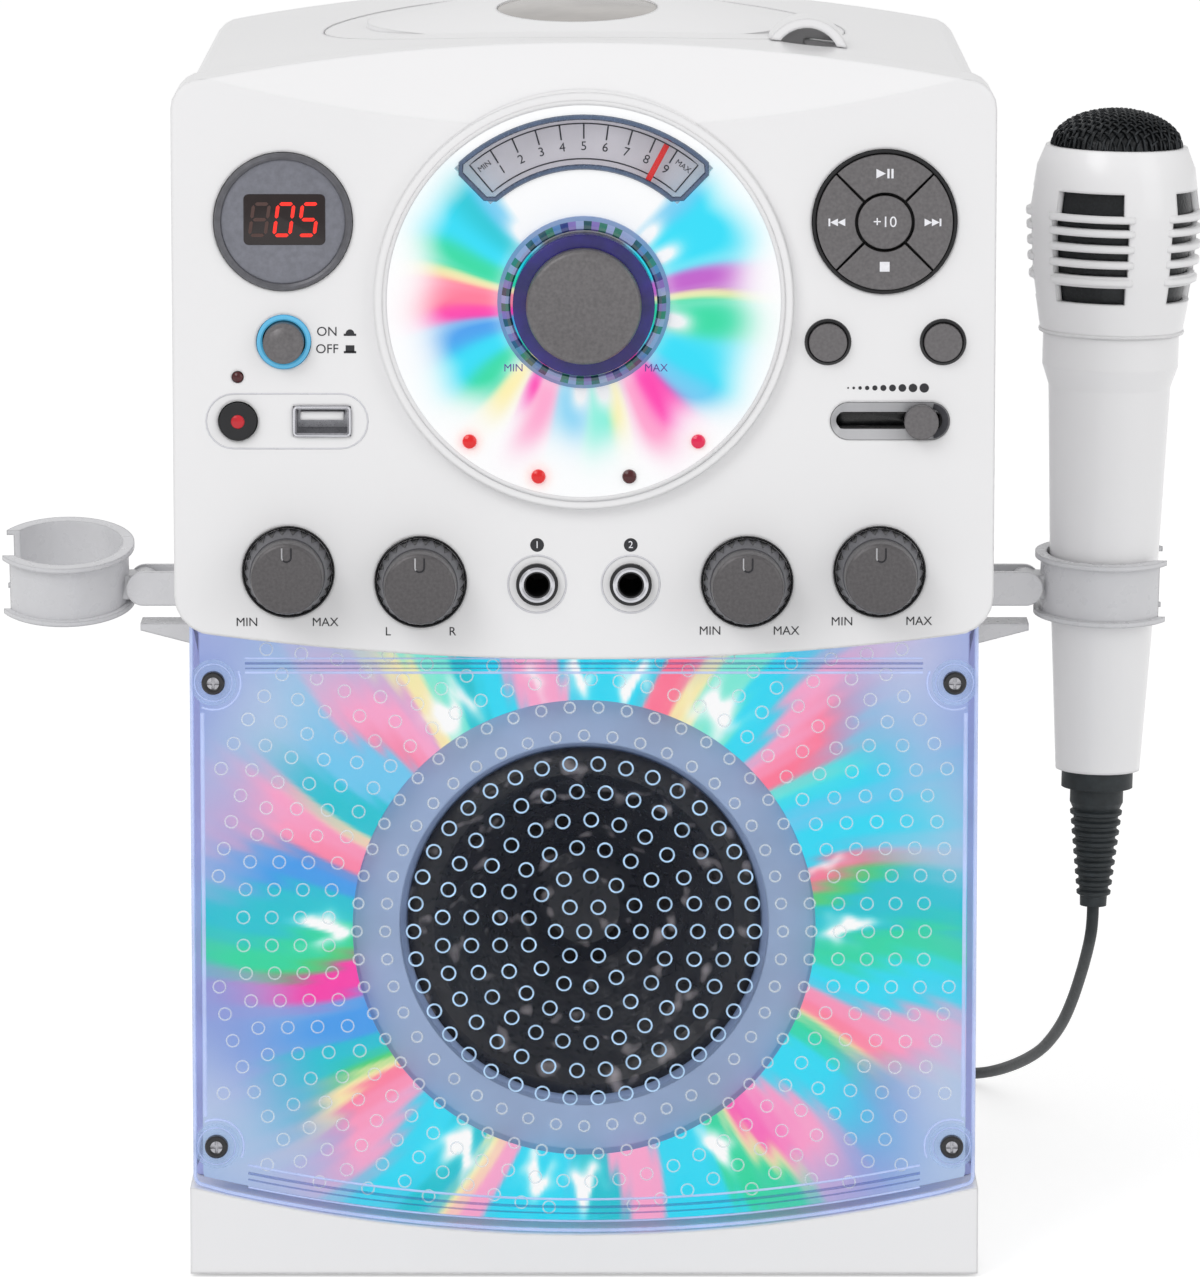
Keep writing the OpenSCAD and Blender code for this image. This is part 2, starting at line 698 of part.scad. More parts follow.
// Display, lamps and sockets
module display_bezel() {
    color(grey_color) difference() {
        rod_y(-side_x, side_z, display_r, fascia_y - 1, fascia_back);
        rod_y(-side_x, side_z, display_r - 2, fascia_y - 2, fascia_y - 0.2);
    }
}
module display_module() {
    color([0.3, 0.05, 0.05]) block(-side_x - 13.5, -side_x + 13.5, fascia_back, board_y,
                                   side_z - 8.5, side_z + 8.5);
}
module indicator_lenses() {
    color([0.9, 0.2, 0.25]) {
        for (p = led_spots) rod_y(p[0], dial_z + p[1], led_r, pad_front - 0.8, board_y);
        rod_y(record_x, record_lamp_z, lamp_r, fascia_y - 0.6, board_y);
        difference() {
            union() {
                rod_y(-side_x, button_z, power_ring_r, fascia_y - 0.8, fascia_back + 0.5);
                rod_y(-side_x, button_z, power_ring_r + 1.2, fascia_back, fascia_back + 1.2);
            }
            rod_y(-side_x, button_z, power_r + run, fascia_y - 2, fascia_back + 2);
        }
    }
}
module usb_port() {
    color("silver") {
        difference() {
            block(usb_x - usb_w / 2, usb_x + usb_w / 2, fascia_y - 0.6, board_y,
                  media_z - usb_h / 2, media_z + usb_h / 2);
            block(usb_x - usb_w / 2 + 0.7, usb_x + usb_w / 2 - 0.7, fascia_y - 2, board_y - 2,
                  media_z - usb_h / 2 + 0.7, media_z + usb_h / 2 - 0.7);
        }
        block(usb_x - 5.8, usb_x + 5.8, fascia_y + 1, board_y - 1.9, media_z + 0.6, media_z + 2.4);
    }
}
jack_body = 13;
jack_back = fascia_y + 32;
module jack_sockets() {
    color(dark_color) for (s = [-1, 1]) difference() {
        union() {
            rod_y(s * jack_x, jack_z, barrel_r, fascia_y - 1, fascia_back + 1);
            rod_y(s * jack_x, jack_z, barrel_r + 1.6, fascia_y - 1.8, fascia_y);
            block(s * jack_x - jack_body / 2, s * jack_x + jack_body / 2, fascia_back, jack_back,
                  jack_z - jack_body / 2, jack_z + jack_body / 2);
        }
        rod_y(s * jack_x, jack_z, jack_r, fascia_y - 3, jack_back - 3);
    }
}

// Buttons: a cap in the front, a stem in a collar on the control board
stem_r = 1.5;
pad_stem = 13;
cap_back = fascia_y + 4;
function pad_spot(a) = [side_x + pad_stem * cos(a), side_z + pad_stem * sin(a)];
button_spots = [[record_x, media_z], pad_spot(90), pad_spot(180), pad_spot(0), pad_spot(270),
                [side_x, side_z], [source_x, button_z], [repeat_x, button_z]];
module stem(x, z, travel) {
    rod_y(x, z, stem_r, cap_back - 1.5, board_y - travel - 0.4);
}
module round_button(x, z, r, out) {
    rod_y(x, z, r, fascia_y - out, cap_back - 1.2);
    stem(x, z, press);
}
module pad_button(a) {
    translate([side_x, 0, side_z]) rotate([0, -a, 0]) along_y(fascia_y - 2, cap_back - 1.4)
        intersection() {
            difference() {
                circle(r = pad_button_r);
                circle(r = skip_r + pad_gap);
            }
            polygon([[pad_gap / sqrt(2), 0], [40, 40], [40, -40]]);
        }
    stem(pad_spot(a)[0], pad_spot(a)[1], press);
}
module power_button() {
    color(grey_color) {
        rod_y(-side_x, button_z, power_r, fascia_y - 4, cap_back);
        stem(-side_x, button_z, power_press);
    }
}
module record_button() { color(dark_color) round_button(record_x, media_z, button_r, 1.6); }
module source_button() { color(grey_color) round_button(source_x, button_z, button_r, 2.2); }
module repeat_button() { color(grey_color) round_button(repeat_x, button_z, button_r, 2.2); }
module skip_button() { color(grey_color) round_button(side_x, side_z, skip_r, 2); }
module play_button() { color(grey_color) pad_button(90); }
module previous_button() { color(grey_color) pad_button(180); }
module next_button() { color(grey_color) pad_button(0); }
module stop_button() { color(grey_color) pad_button(270); }
module pad_bezel() {
    color(dark_color) difference() {
        rod_y(side_x, side_z, pad_cup_r, fascia_y - 0.8, cap_back + 1);
        rod_y(side_x, side_z, pad_button_r + run, fascia_y - 2, cap_back);
        for (a = [0, 90, 180, 270])
            rod_y(pad_spot(a)[0], pad_spot(a)[1], stem_r + run, cap_back - 1, cap_back + 2);
        rod_y(side_x, side_z, stem_r + run, cap_back - 1, cap_back + 2);
    }
}

// Light slider
slot_h = 3.4;
shoe_y = fascia_back - 0.2;
module slider_track() {
    left = slider_knob_x - slider_travel;
    color(dark_color) difference() {
        stadium_y(slider_x, media_z, track_w - 2 * fit, track_h - 2 * fit, fascia_y + 0.8, shoe_y - run);
        block(left - 1.5 - run, slider_knob_x + 1.5 + run, fascia_y, fascia_back + 1,
              media_z - slot_h / 2, media_z + slot_h / 2);
    }
}
module slider_knob() {
    color(grey_color) {
        rod_y(slider_knob_x, media_z, slider_r, fascia_y - 4, fascia_y + 0.4);
        block(slider_knob_x - 1.5, slider_knob_x + 1.5, fascia_y, board_y - 7.4,
              media_z - slot_h / 2 + run, media_z + slot_h / 2 - run);
        block(slider_knob_x - 3, slider_knob_x + 3, shoe_y, shoe_y + 1.4, media_z - 4, media_z + 4);
    }
}

// Control board with the pots, the switch collars and the slide pot
pot_half = 8;
pot_y = fascia_back + 2;
module control_board() {
    color(board_color) difference() {
        union() {
            block(-body_half + 8, body_half - 8, board_y, board_y + board_t, panel_top + 3, dial_z + 36);
            knob_places() block(-pot_half, pot_half, pot_y, board_y, -pot_half, pot_half);
            for (p = button_spots) rod_y(p[0], p[1], stem_r + 1.7, board_y - 4.6, board_y);
            rod_y(-side_x, button_z, stem_r + 1.7, board_y - 4.6, board_y);
            block(slider_x - 15, slider_x + 15, board_y - 7, board_y, media_z - 4, media_z + 4);
        }
        knob_places() rod_y(0, 0, shaft_r + bore_gap, pot_y - 1, board_y - 1);
        for (p = button_spots) rod_y(p[0], p[1], stem_r + fit, board_y - 6, board_y - 0.01);
        rod_y(-side_x, button_z, stem_r + fit, board_y - 6, board_y - 0.01);
        block(-jack_x - 9, jack_x + 9, board_y - 1, board_y + 3, 0, jack_z + 9);
    }
}

// Small knobs: a fluted skirt under a tapered cap with a pointer groove
flutes = 20;
skirt_y = fascia_y + 0.7;
module small_knob(x, z, turn) {
    front = fascia_y - small_knob_out;
    translate([x, 0, z]) rotate([0, turn, 0]) {
        color(dark_color) along_y(skirt_y - 6, skirt_y)
            polygon([for (i = [0:flutes * 4 - 1])
                     let (a = 90 * i / flutes, r = small_skirt_r - (i % 4 < 2 ? 0 : 0.7))
                     [r * cos(a), r * sin(a)]]);
        color(grey_color) difference() {
            cone_y(0, 0, small_cap_r - 0.9, small_cap_r, front, skirt_y - 6);
            block(-0.5, 0.5, front - 1, front + 0.6, 2, small_cap_r + 1);
        }
        color("silver") rod_y(0, 0, shaft_r, skirt_y - 1, board_y - 1.4);
    }
}
module voice_knob() { small_knob(-outer_knob_x, outer_knob_z, 0); }
module balance_knob() { small_knob(-inner_knob_x, inner_knob_z, 0); }
module echo_knob() { small_knob(inner_knob_x, inner_knob_z, 0); }
module mic_level_knob() { small_knob(outer_knob_x, outer_knob_z, 0); }

// Main board on standoffs at the rear wall, with its cooler and capacitors
main_y = rear_y - wall - 9.9;
main_half = 60;
main_edge = 8;
cooler = [40, 14, 26];
cooler_up = 20;
capacitor_r = 4.5;
capacitor_h = 12;
capacitor_x = [-40, 38, 48];
module main_board() {
    face = main_y - board_t;
    color(board_color) {
        block(-main_half, main_half, face, main_y, standoff_z[0] - main_edge, standoff_z[1] + main_edge);
        block(-cooler[0] / 2, cooler[0] / 2, face - cooler[1], face,
              standoff_z[0] + cooler_up, standoff_z[0] + cooler_up + cooler[2]);
        for (x = capacitor_x)
            rod_y(x, standoff_z[1] - 30, capacitor_r, face - capacitor_h, face);
    }
}

// Rear sockets: three phono sockets and a power inlet
rca_r = 4.15;
rca_neck_r = 3.4;
rca_bore = 1.6;
rca_seat = 0.4;
rca_out = 9;
inlet_r = 5;
inlet_bore = 3.15;
module rear_sockets() {
    color("gold") for (i = [-1:1]) difference() {
        union() {
            rod_y(i * socket_step - 20, rear_panel_z, rca_neck_r, main_y, rear_y + 1);
            rod_y(i * socket_step - 20, rear_panel_z, rca_r, rear_y + rca_seat, rear_y + rca_out);
        }
        rod_y(i * socket_step - 20, rear_panel_z, rca_bore, main_y + 2, rear_y + rca_out + 1);
    }
    color(dark_color) {
        difference() {
            rod_y(40, rear_panel_z, inlet_r, main_y, rear_y + 0.6);
            rod_y(40, rear_panel_z, inlet_bore, main_y + 2, rear_y + 1);
        }
        rod_y(40, rear_panel_z, 1, main_y, rear_y - 1);
    }
}

// Disc mechanism: chassis with two rods, spindle motor, turntable and the pickup on its sled
chassis_z = well_z - 14;
rod_r = 1.5;
rod_y_off = 14;
rod_z = well_z - 6;
sled_rest = 25;
sled_half = 10;
lens_r = 4;
ear_x = [slot_x0 - 10, slot_x0 + 53];
post_spots = [[-40, 20], [-40, -20], [52, 30], [52, -30]];
chassis_x = [-46, 80];
chassis_half = 34;
chassis_t = 2;
module disc_chassis() {
    color([0.25, 0.25, 0.27]) difference() {
        union() {
            block(chassis_x[0], chassis_x[1], -chassis_half, chassis_half, chassis_z, chassis_z + chassis_t);
            for (x = ear_x) block(x, x + 3, -rod_y_off - 4, rod_y_off + 4, chassis_z + 1, rod_z + 3.5);
            for (s = [-1, 1]) rod_x(s * rod_y_off, rod_z, rod_r, ear_x[0] + 1, ear_x[1] + 2);
            for (p = post_spots)
                translate([p[0], p[1], chassis_z + 1])
                    cylinder(r = 3, h = well_z - floor_t - chassis_z - 1);
        }
        translate([0, 0, chassis_z - 1]) cylinder(r = 3, h = 4);
        for (x = ear_x) block(x - 1, x + 4, -8, 8, chassis_z + 2, rod_z + 5);
    }
}
shaft = 1.5;
motor_r = 12;
module spindle_motor() {
    color("silver") difference() {
        translate([0, 0, chassis_z - 15]) cylinder(r = motor_r, h = 15);
        translate([0, 0, chassis_z - 8]) cylinder(r = shaft + bore_gap, h = 9);
    }
}
module turntable() {
    color(dark_color) {
        translate([0, 0, well_z + 1]) cylinder(r = hub_hole_r - 1.5, h = 2.5);
        translate([0, 0, well_z + 3.5]) cylinder(r = spindle_r, h = 2.5);
        translate([0, 0, well_z + 6]) cylinder(r1 = spindle_r, r2 = spindle_r - 1.2, h = 1.2);
        translate([0, 0, chassis_z - 7]) cylinder(r = shaft, h = well_z + 2 - chassis_z + 7);
        translate([0, 0, chassis_z + 3]) cylinder(r = 5, h = well_z - chassis_z - 2);
    }
}
module pickup() {
    color([0.15, 0.15, 0.17]) difference() {
        union() {
            block(sled_rest - sled_half, sled_rest + sled_half, -rod_y_off - 3, rod_y_off + 3,
                  rod_z - 3, rod_z + 3);
            translate([sled_rest, 0, rod_z + 1]) cylinder(r = lens_r, h = 6.3);
        }
        for (s = [-1, 1])
            rod_x(s * rod_y_off, rod_z, rod_r + bore_gap, sled_rest - 2 * sled_half, sled_rest + 2 * sled_half);
    }
}

// Lid: a flush rim, a low dome with a round smoked window, a finger arch and two hinge lugs
dome_r = 62;
dome_ball = 244;
window_r = 22.5;
window_x = -2;
window_y = -23;
arch_wall = 3;
module dome(inset) {
    intersection() {
        translate([0, 0, recess_z - 1]) cylinder(r = dome_r - inset, h = 60);
        translate([0, 0, deck_z + lid_rise - dome_ball]) sphere(r = dome_ball - inset, $fn = 200);
    }
}
module lid_solid(inset) {
    intersection() {
        union() {
            intersection() {
                cylinder(r = lid_r - inset, h = 500);
                deck_prism(inset);
            }
            dome(inset);
        }
        translate([0, 0, recess_z + run - (inset > 0 ? 5 : 0)]) cylinder(r = lid_r + 1, h = 60);
    }
}
module lid() {
    color(shell_color) difference() {
        union() {
            lid_solid(0);
            difference() {
                rod_y(arch_x, arch_z, arch_r, arch_y[0], arch_y[1]);
                deck_prism(-run);
                cylinder(r = dome_r - 1, h = 400);
            }
            intersection() {
                rod_y(arch_x, arch_z, arch_r, arch_y[0], arch_y[1]);
                translate([0, 0, recess_z + run]) cylinder(r = lid_r, h = 40);
            }
            for (s = [-1, 1]) {
                rod_x(hinge_y, hinge_z, lug_r, s * lug_x - lug_w / 2, s * lug_x + lug_w / 2);
                block(s * lug_x - lug_w / 2, s * lug_x + lug_w / 2, lid_r - 5, hinge_y,
                      hinge_z - 1.2, hinge_z + 2);
            }
        }
        lid_solid(lid_wall);
        rod_y(arch_x, arch_z, arch_bore, arch_y[0] - 1, arch_y[1] - arch_wall);
        translate([window_x, window_y, 0]) cylinder(r = window_r + fit, h = 400);
        rod_x(hinge_y, hinge_z, hinge_r + bore_gap, -60, 60);
    }
}
module lid_window() {
    color([0.55, 0.52, 0.5]) intersection() {
        translate([window_x, window_y, 0]) cylinder(r = window_r, h = 400);
        difference() {
            dome(0.4);
            dome(lid_wall);
        }
    }
}

// Clips: a bracket on each side, a pin along Y and a ring with a mouth that faces outwards
clip_x = body_half + mic_out;
ring_wall = 1.6;
ring_lip = 1.7;
lip_t = 1.5;
pin_x = body_half + 16.8;
pin_r = 1.5;
cheek_r = 4.9;
cheek_in = 6.2;
cheek_out = 8.4;
hub_r = 4.4;
left_ring_z = clip_pin_z + 3.8;
right_ring_z = clip_pin_z + 0.6;
module clip_bracket() {
    block(body_half, body_half + 3, -12, 12, clip_pin_z - 13.8, clip_pin_z + 14.2);
    for (s = [-1, 1]) {
        y0 = s > 0 ? cheek_in : -cheek_out;
        y1 = s > 0 ? cheek_out : -cheek_in;
        block(body_half + 2, pin_x, y0, y1, clip_pin_z - cheek_r, clip_pin_z + cheek_r);
        rod_y(pin_x, clip_pin_z, cheek_r, y0, y1);
    }
    block(body_half + 2, body_half + 8, cheek_in, cheek_out, clip_pin_z, clip_pin_z + 14.2);
    along_y(-cheek_in, cheek_in)
        polygon([[body_half + 2, clip_pin_z - 16.5], [pin_x + 1, clip_pin_z - 12.4],
                 [pin_x + 1, clip_pin_z - 10.4], [body_half + 2, clip_pin_z - 10.4]]);
    rod_y(pin_x, clip_pin_z, pin_r, -cheek_out, cheek_out);
}
module clip_brackets() {
    color(clip_color) {
        clip_bracket();
        mirror([1, 0, 0]) clip_bracket();
    }
}
module clip(ring_z, tilt, lean) {
    difference() {
        union() {
            translate([clip_x, 0, ring_z]) rotate([tilt, lean, 0]) {
                translate([0, 0, -clip_h / 2]) cylinder(r = clip_bore_r + ring_wall, h = clip_h);
                for (z = [-clip_h / 2, clip_h / 2 - lip_t])
                    translate([0, 0, z]) cylinder(r = clip_bore_r + ring_wall + ring_lip, h = lip_t);
            }
            rod_y(pin_x, clip_pin_z, hub_r, -cheek_in + run, cheek_in - run);
            block(pin_x, clip_x - clip_bore_r + 1, -cheek_in + run, cheek_in - run,
                  clip_pin_z - 3.4, clip_pin_z + 3.6);
        }
        translate([clip_x, 0, ring_z]) rotate([tilt, lean, 0]) {
            translate([0, 0, -clip_h]) cylinder(r = clip_bore_r, h = 2 * clip_h);
            translate([0, -clip_mouth / 2, -clip_h]) cube([40, clip_mouth, 2 * clip_h]);
        }
        rod_y(pin_x, clip_pin_z, pin_r + bore_gap, -20, 20);
        for (s = [-1, 1])
            rod_y(pin_x, clip_pin_z, cheek_r + run, s > 0 ? cheek_in - fit : -cheek_out - fit,
                  s > 0 ? cheek_out + fit : fit - cheek_in);
    }
}
module left_clip() { color(clip_color) mirror([1, 0, 0]) clip(left_ring_z, left_tilt, 0); }
module right_clip() { color(clip_color) clip(right_ring_z, right_tilt, mic_lean); }

// Microphone, drawn upright from the cord end at height 0 of its own frame
mic_x = clip_x - (right_ring_z - mic_z) * tan(mic_lean);
module in_mic() {
    translate([mic_x, 0, mic_z]) rotate([0, mic_lean, 0]) children();
}
clip_line = right_ring_z - mic_z + 4;
taper_top = clip_line + 53.4;
handle_top = taper_top + 15.7;
cage_low = handle_top + fit;
cage_h = 53.2;
crown_rise = 10;
rim_r = 20.25;
rim_h = cage_low + cage_h;
crown_h = rim_h + crown_rise;
rib_count = 9;
mic_window_low = cage_low + 9.7;
mic_window_h = 4.8;
mic_slot_low = mic_window_low + mic_window_h + 3.3;
mic_slot_h = 2.4;
mic_slot_step = 4.5;
top_window_h = 6.5;
top_window_low = rim_h - 11.9 - top_window_h;
mic_slots = floor((top_window_low - 1 - mic_slot_h - mic_slot_low) / mic_slot_step) + 1;
mesh_wall = 1.2;
module mic_handle() {
    r = handle_top_r + 2;
    color(shell_color) in_mic() rotate_extrude($fn = 72)
        polygon([[0, bush_len], [handle_low_r, bush_len], [handle_mid_r, clip_line],
                 [handle_top_r, taper_top], [r, taper_top + 6], [r, handle_top],
                 [r - mic_wall, handle_top], [r - mic_wall, taper_top + 7],
                 [handle_top_r - mic_wall, taper_top], [handle_mid_r - mic_wall, clip_line],
                 [handle_low_r - mic_wall, bush_len + 3], [0, bush_len + 3]]);
}
module mic_slot(low, high, half) {
    translate([0, 0, low]) linear_extrude(high - low)
        polygon([[10, -10 * tan(half)], [40, -40 * tan(half)], [40, 40 * tan(half)], [10, 10 * tan(half)]]);
}
function cage_line(inset) =
    [[handle_top_r + 2.85 - inset, cage_low], [head_r - 1 - inset, cage_low + 18.2],
     [head_r - inset, rim_h - 18.6], [rim_r + 2.4 - inset, rim_h - 6], [rim_r - inset, rim_h]];
module mic_cage() {
    color(shell_color) in_mic() difference() {
        rotate_extrude($fn = 72) polygon(concat(cage_line(0), [for (i = [4:-1:0]) cage_line(mic_wall)[i]]));
        for (g = [0:3]) rotate([0, 0, -111.5 + 90 * g]) {
            mic_slot(top_window_low, top_window_low + top_window_h, 25);
            for (i = [0:mic_slots - 1]) let (z = mic_slot_low + mic_slot_step * i) mic_slot(z, z + mic_slot_h, 29);
            mic_slot(mic_window_low, mic_window_low + mic_window_h, 28);
        }
    }
}
module mic_mesh() {
    line = cage_line(mic_wall + fit);
    inner = cage_line(mic_wall + fit + mesh_wall);
    r = line[4][0];
    color(dark_color) in_mic() rotate_extrude($fn = 72)
        polygon(concat([[0, line[0][1]], line[0], line[1], line[2], line[3]],
                       [for (a = [0:15:90]) [r * cos(a), rim_h + (crown_h - rim_h) * sin(a)]],
                       [for (a = [90:-15:0])
                        [(r - mesh_wall) * cos(a), rim_h + (crown_h - rim_h - mesh_wall) * sin(a)]],
                       [inner[3], inner[2], inner[1], [inner[0][0], inner[0][1] + mesh_wall],
                        [0, inner[0][1] + mesh_wall]]));
}
module mic_bush() {
    end_r = 3.85;
    collar_h = bush_len - 5.8;
    step = (collar_h - 8) / rib_count;
    color(dark_color) in_mic() rotate_extrude($fn = 48)
        polygon(concat([[0, 0], [end_r, 0]],
                       [for (i = [0:rib_count - 1], p = [[0.3, 0], [0.5, 0.9], [0.8, 0.9], [1, 0]])
                        [end_r + 0.32 * (i + p[0]) + p[1], 2 + step * (i + p[0])]],
                       [[7.7, collar_h - 4], [7.7, collar_h], [10.3, collar_h + 0.5], [10.3, bush_len],
                        [0, bush_len]]));
}

// The cord: a free stretch from the microphone to the coil behind the cabinet, the coil and a tail
cord_r = cord_d / 2;
cord_route = [[147.4, 0, 86.35], [147.3, 0, 83], [147.1, 1.4, 79], [146.7, 5, 74.5], [146, 14, 67.4],
              [145.2, 24, 60.4], [144, 38, 51.3], [142.3, 54, 41.7], [140.1, 72, 32.8], [137.2, 90, 24.8],
              [132.9, 112, 16.8], [127.4, 136, 9.2], [121.6, 153, 4.4], [115, 163, 2.4], [106, 168, 1.9],
              [94, 169, 1.8], [78, 169, 1.8], [60, 169, 1.8], [42, 169, 1.8], [24, 169, 1.8],
              [6, 169, 1.8], [-8, 168.9, 1.8], [-16.5, 168.9, 1.8]];
tail_route = [[-16.5, 111.1, 15.15], [-13, 111.1, 15.15], [-8, 111.2, 14.4], [-1, 111.7, 11.9],
              [6, 112.6, 8.8], [12, 113.6, 6.7], [18, 114.3, 5.7], [23, 114.5, 5.5], [26.5, 114.5, 5.5]];
cord_sides = 8;
coil_sides = 6;
coil_rings = 24;
layers = 4;
coil_mid = [-20, 140];
coil_out_r = 28.9;
coil_turns = layers * layer_turns - 0.5;
run_turns = layer_turns - 0.5;

function unit(v) = v / norm(v);
function mix(a, b, c, d, t) =
    0.5 * (2 * b + (c - a) * t + (2 * a - 5 * b + 4 * c - d) * t * t + (3 * b - a - 3 * c + d) * t * t * t);
function smooth(p, k) = let (n = len(p) - 1) concat(
    [for (i = [0:n - 1], j = [0:k - 1])
     mix(p[max(i - 1, 0)], p[i], p[i + 1], p[min(i + 2, n)], j / k)], [p[n]]);
function heading(p, i) = unit(p[min(i + 1, len(p) - 1)] - p[max(i - 1, 0)]);
function sideways(t) = unit(cross(t, abs(t[2]) > 0.9 ? [0, 1, 0] : [0, 0, 1]));
function ring_points(c, t, s, r, n) =
    let (u = unit(s - t * (s * t)), w = cross(t, u))
    [for (k = [0:n - 1]) c + r * (u * cos(360 * k / n) + w * sin(360 * k / n))];
function carried(p, i, s) =
    let (t = heading(p, i)) unit(s - t * (s * t));
function frames(p, i, s) = i >= len(p) ? [] : let (u = carried(p, i, s)) concat([u], frames(p, i + 1, u));
module tube(p, r, n) {
    m = len(p);
    us = frames(p, 0, sideways(heading(p, 0)));
    points = [for (i = [0:m - 1]) each ring_points(p[i], heading(p, i), us[i], r, n)];
    ends = [p[0], p[m - 1]];
    faces = concat(
        [for (i = [0:m - 2], k = [0:n - 1]) let (a = i * n + k, b = i * n + (k + 1) % n)
         each [[a, b + n, b], [a, a + n, b + n]]],
        [for (k = [0:n - 1]) [m * n, k, (k + 1) % n]],
        [for (k = [0:n - 1]) [m * n + 1, (m - 1) * n + (k + 1) % n, (m - 1) * n + k]]);
    polyhedron(points = concat(points, ends), faces = faces, convexity = 10);
}
function layer_of(t) = min(layers - 1, floor(t / layer_turns));
function coil_radius(t) =
    let (k = layer_of(t), u = min(t - k * layer_turns, run_turns))
    k % 2 == 0 ? coil_out_r - turn_step * u : coil_out_r - turn_step * (run_turns - u);
function coil_height(t) =
    let (k = layer_of(t), u = t - k * layer_turns)
    cord_r + 0.05 + turn_step * (k + (k < layers - 1 ? max(0, u - run_turns) / 0.5 : 0));
function coil_point(t) =
    let (a = 90 + 360 * t) [coil_mid[0] + coil_radius(t) * cos(a), coil_mid[1] + coil_radius(t) * sin(a),
                            coil_height(t)];
function coil_path() = let (n = round(coil_turns * coil_rings)) concat(
    [coil_point(0) + [cord_d, 0, 0]],
    [for (i = [0:n]) coil_point(i * coil_turns / n)],
    [coil_point(coil_turns) + [cord_d, 0, 0]]);
function self_gap(p) = min([for (i = [0:2:len(p) - 1], j = [i + 12:1:len(p) - 1]) norm(p[i] - p[j])]) - cord_d;

module mic_cord() {
    color(dark_color) {
        tube(smooth(cord_route, 2), cord_r, cord_sides);
        tube(smooth(tail_route, 2), cord_r, cord_sides);
    }
}
module cord_coil() {
    p = coil_path();
    echo("coil: least gap to itself in mm", self_gap(p));
    echo("coil: starts at", p[0], "and ends at", p[len(p) - 1]);
    color(dark_color) tube(p, cord_r, coil_sides);
}
plug_handle_r = 5.5;
plug_handle = 32;
plug_pin_r = 3.15;
plug_pin = 28;
module mic_plug() {
    end = tail_route[len(tail_route) - 1];
    color(dark_color) {
        rod_x(end[1], end[2], plug_handle_r, end[0] + 6, end[0] + 6 + plug_handle);
        translate(end) rotate([0, 90, 0]) cylinder(r1 = cord_r + 0.8, r2 = 4, h = 6);
    }
    color("silver") {
        rod_x(end[1], end[2], plug_pin_r, end[0] + 6 + plug_handle, end[0] + 6 + plug_handle + plug_pin);
        translate([end[0] + 6 + plug_handle + plug_pin, end[1], end[2]]) rotate([0, 90, 0])
            cylinder(r1 = plug_pin_r, r2 = 1, h = 3);
    }
}

front_fascia();
rear_cabinet();
top_deck();
base_plinth();
feet();
clear_panel();
light_baffle();
panel_screws();
speaker_frame();
speaker_cone();
light_boards();
dial_lens();
gauge_plate();
gauge_window();
crystal_ring();
display_bezel();
display_module();
indicator_lenses();
usb_port();
pad_bezel();
slider_track();
jack_sockets();
control_board();
gear_bracket();
main_board();
rear_sockets();
disc_chassis();
spindle_motor();
clip_brackets();
left_clip();
right_clip();
lid();
lid_window();
turntable();
pickup();
power_button();
record_button();
play_button();
previous_button();
next_button();
stop_button();
skip_button();
source_button();
repeat_button();
slider_knob();
volume_knob();
volume_cap();
idler_gear();
gauge_needle();
voice_knob();
balance_knob();
echo_knob();
mic_level_knob();
mic_handle();
mic_cage();
mic_mesh();
mic_bush();
mic_cord();
cord_coil();
mic_plug();
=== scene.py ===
"""Looks of a karaoke machine with a lit clear front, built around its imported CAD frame.

Lengths are millimetres until a mesh is written, where MM turns them into metres.
+X is right seen from the front, the front faces -Y and +Z is up.
"""

import json
import math

import bmesh
import bpy
from mathutils import Matrix, Vector


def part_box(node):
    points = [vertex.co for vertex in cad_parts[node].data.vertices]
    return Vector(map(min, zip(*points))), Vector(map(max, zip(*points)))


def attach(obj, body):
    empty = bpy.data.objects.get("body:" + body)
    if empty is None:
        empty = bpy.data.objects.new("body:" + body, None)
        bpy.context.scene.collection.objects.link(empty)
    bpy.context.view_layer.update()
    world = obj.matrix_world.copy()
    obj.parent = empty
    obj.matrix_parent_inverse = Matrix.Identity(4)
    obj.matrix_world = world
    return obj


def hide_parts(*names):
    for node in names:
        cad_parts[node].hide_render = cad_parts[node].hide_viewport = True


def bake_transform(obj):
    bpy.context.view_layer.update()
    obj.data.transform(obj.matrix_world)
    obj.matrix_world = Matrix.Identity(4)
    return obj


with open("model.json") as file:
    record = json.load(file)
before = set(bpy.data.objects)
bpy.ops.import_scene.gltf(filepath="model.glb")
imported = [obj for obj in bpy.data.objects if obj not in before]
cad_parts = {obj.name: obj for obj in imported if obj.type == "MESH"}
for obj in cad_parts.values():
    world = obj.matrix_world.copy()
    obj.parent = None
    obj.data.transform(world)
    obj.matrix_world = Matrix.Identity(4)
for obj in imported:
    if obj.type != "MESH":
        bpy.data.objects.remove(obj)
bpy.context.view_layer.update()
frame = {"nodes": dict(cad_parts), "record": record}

MM = 0.001
TAU = 2 * math.pi
PRINT_T = 0.08


# --- places, from the frame
def low(node):
    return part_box(node)[0] / MM


def high(node):
    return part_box(node)[1] / MM


def middle(node):
    return (low(node) + high(node)) / 2


def radius(node):
    return (high(node).x - low(node).x) / 2


FRONT_Y = low("front_fascia").y + 3  # the flat front, behind the collar of the dial
PANEL_Y = low("clear_panel").y
DIAL = middle("dial_lens")
DIAL_R = radius("dial_lens")
PAD_Y = low("dial_lens").y
SPEAKER = middle("speaker_cone")
RING_R = radius("speaker_frame")
DISPLAY = middle("display_bezel")
TRANSPORT = middle("pad_bezel")
POWER = middle("power_button")
RECORD = middle("record_button")
SLIDER = middle("slider_track")
USB = middle("usb_port")


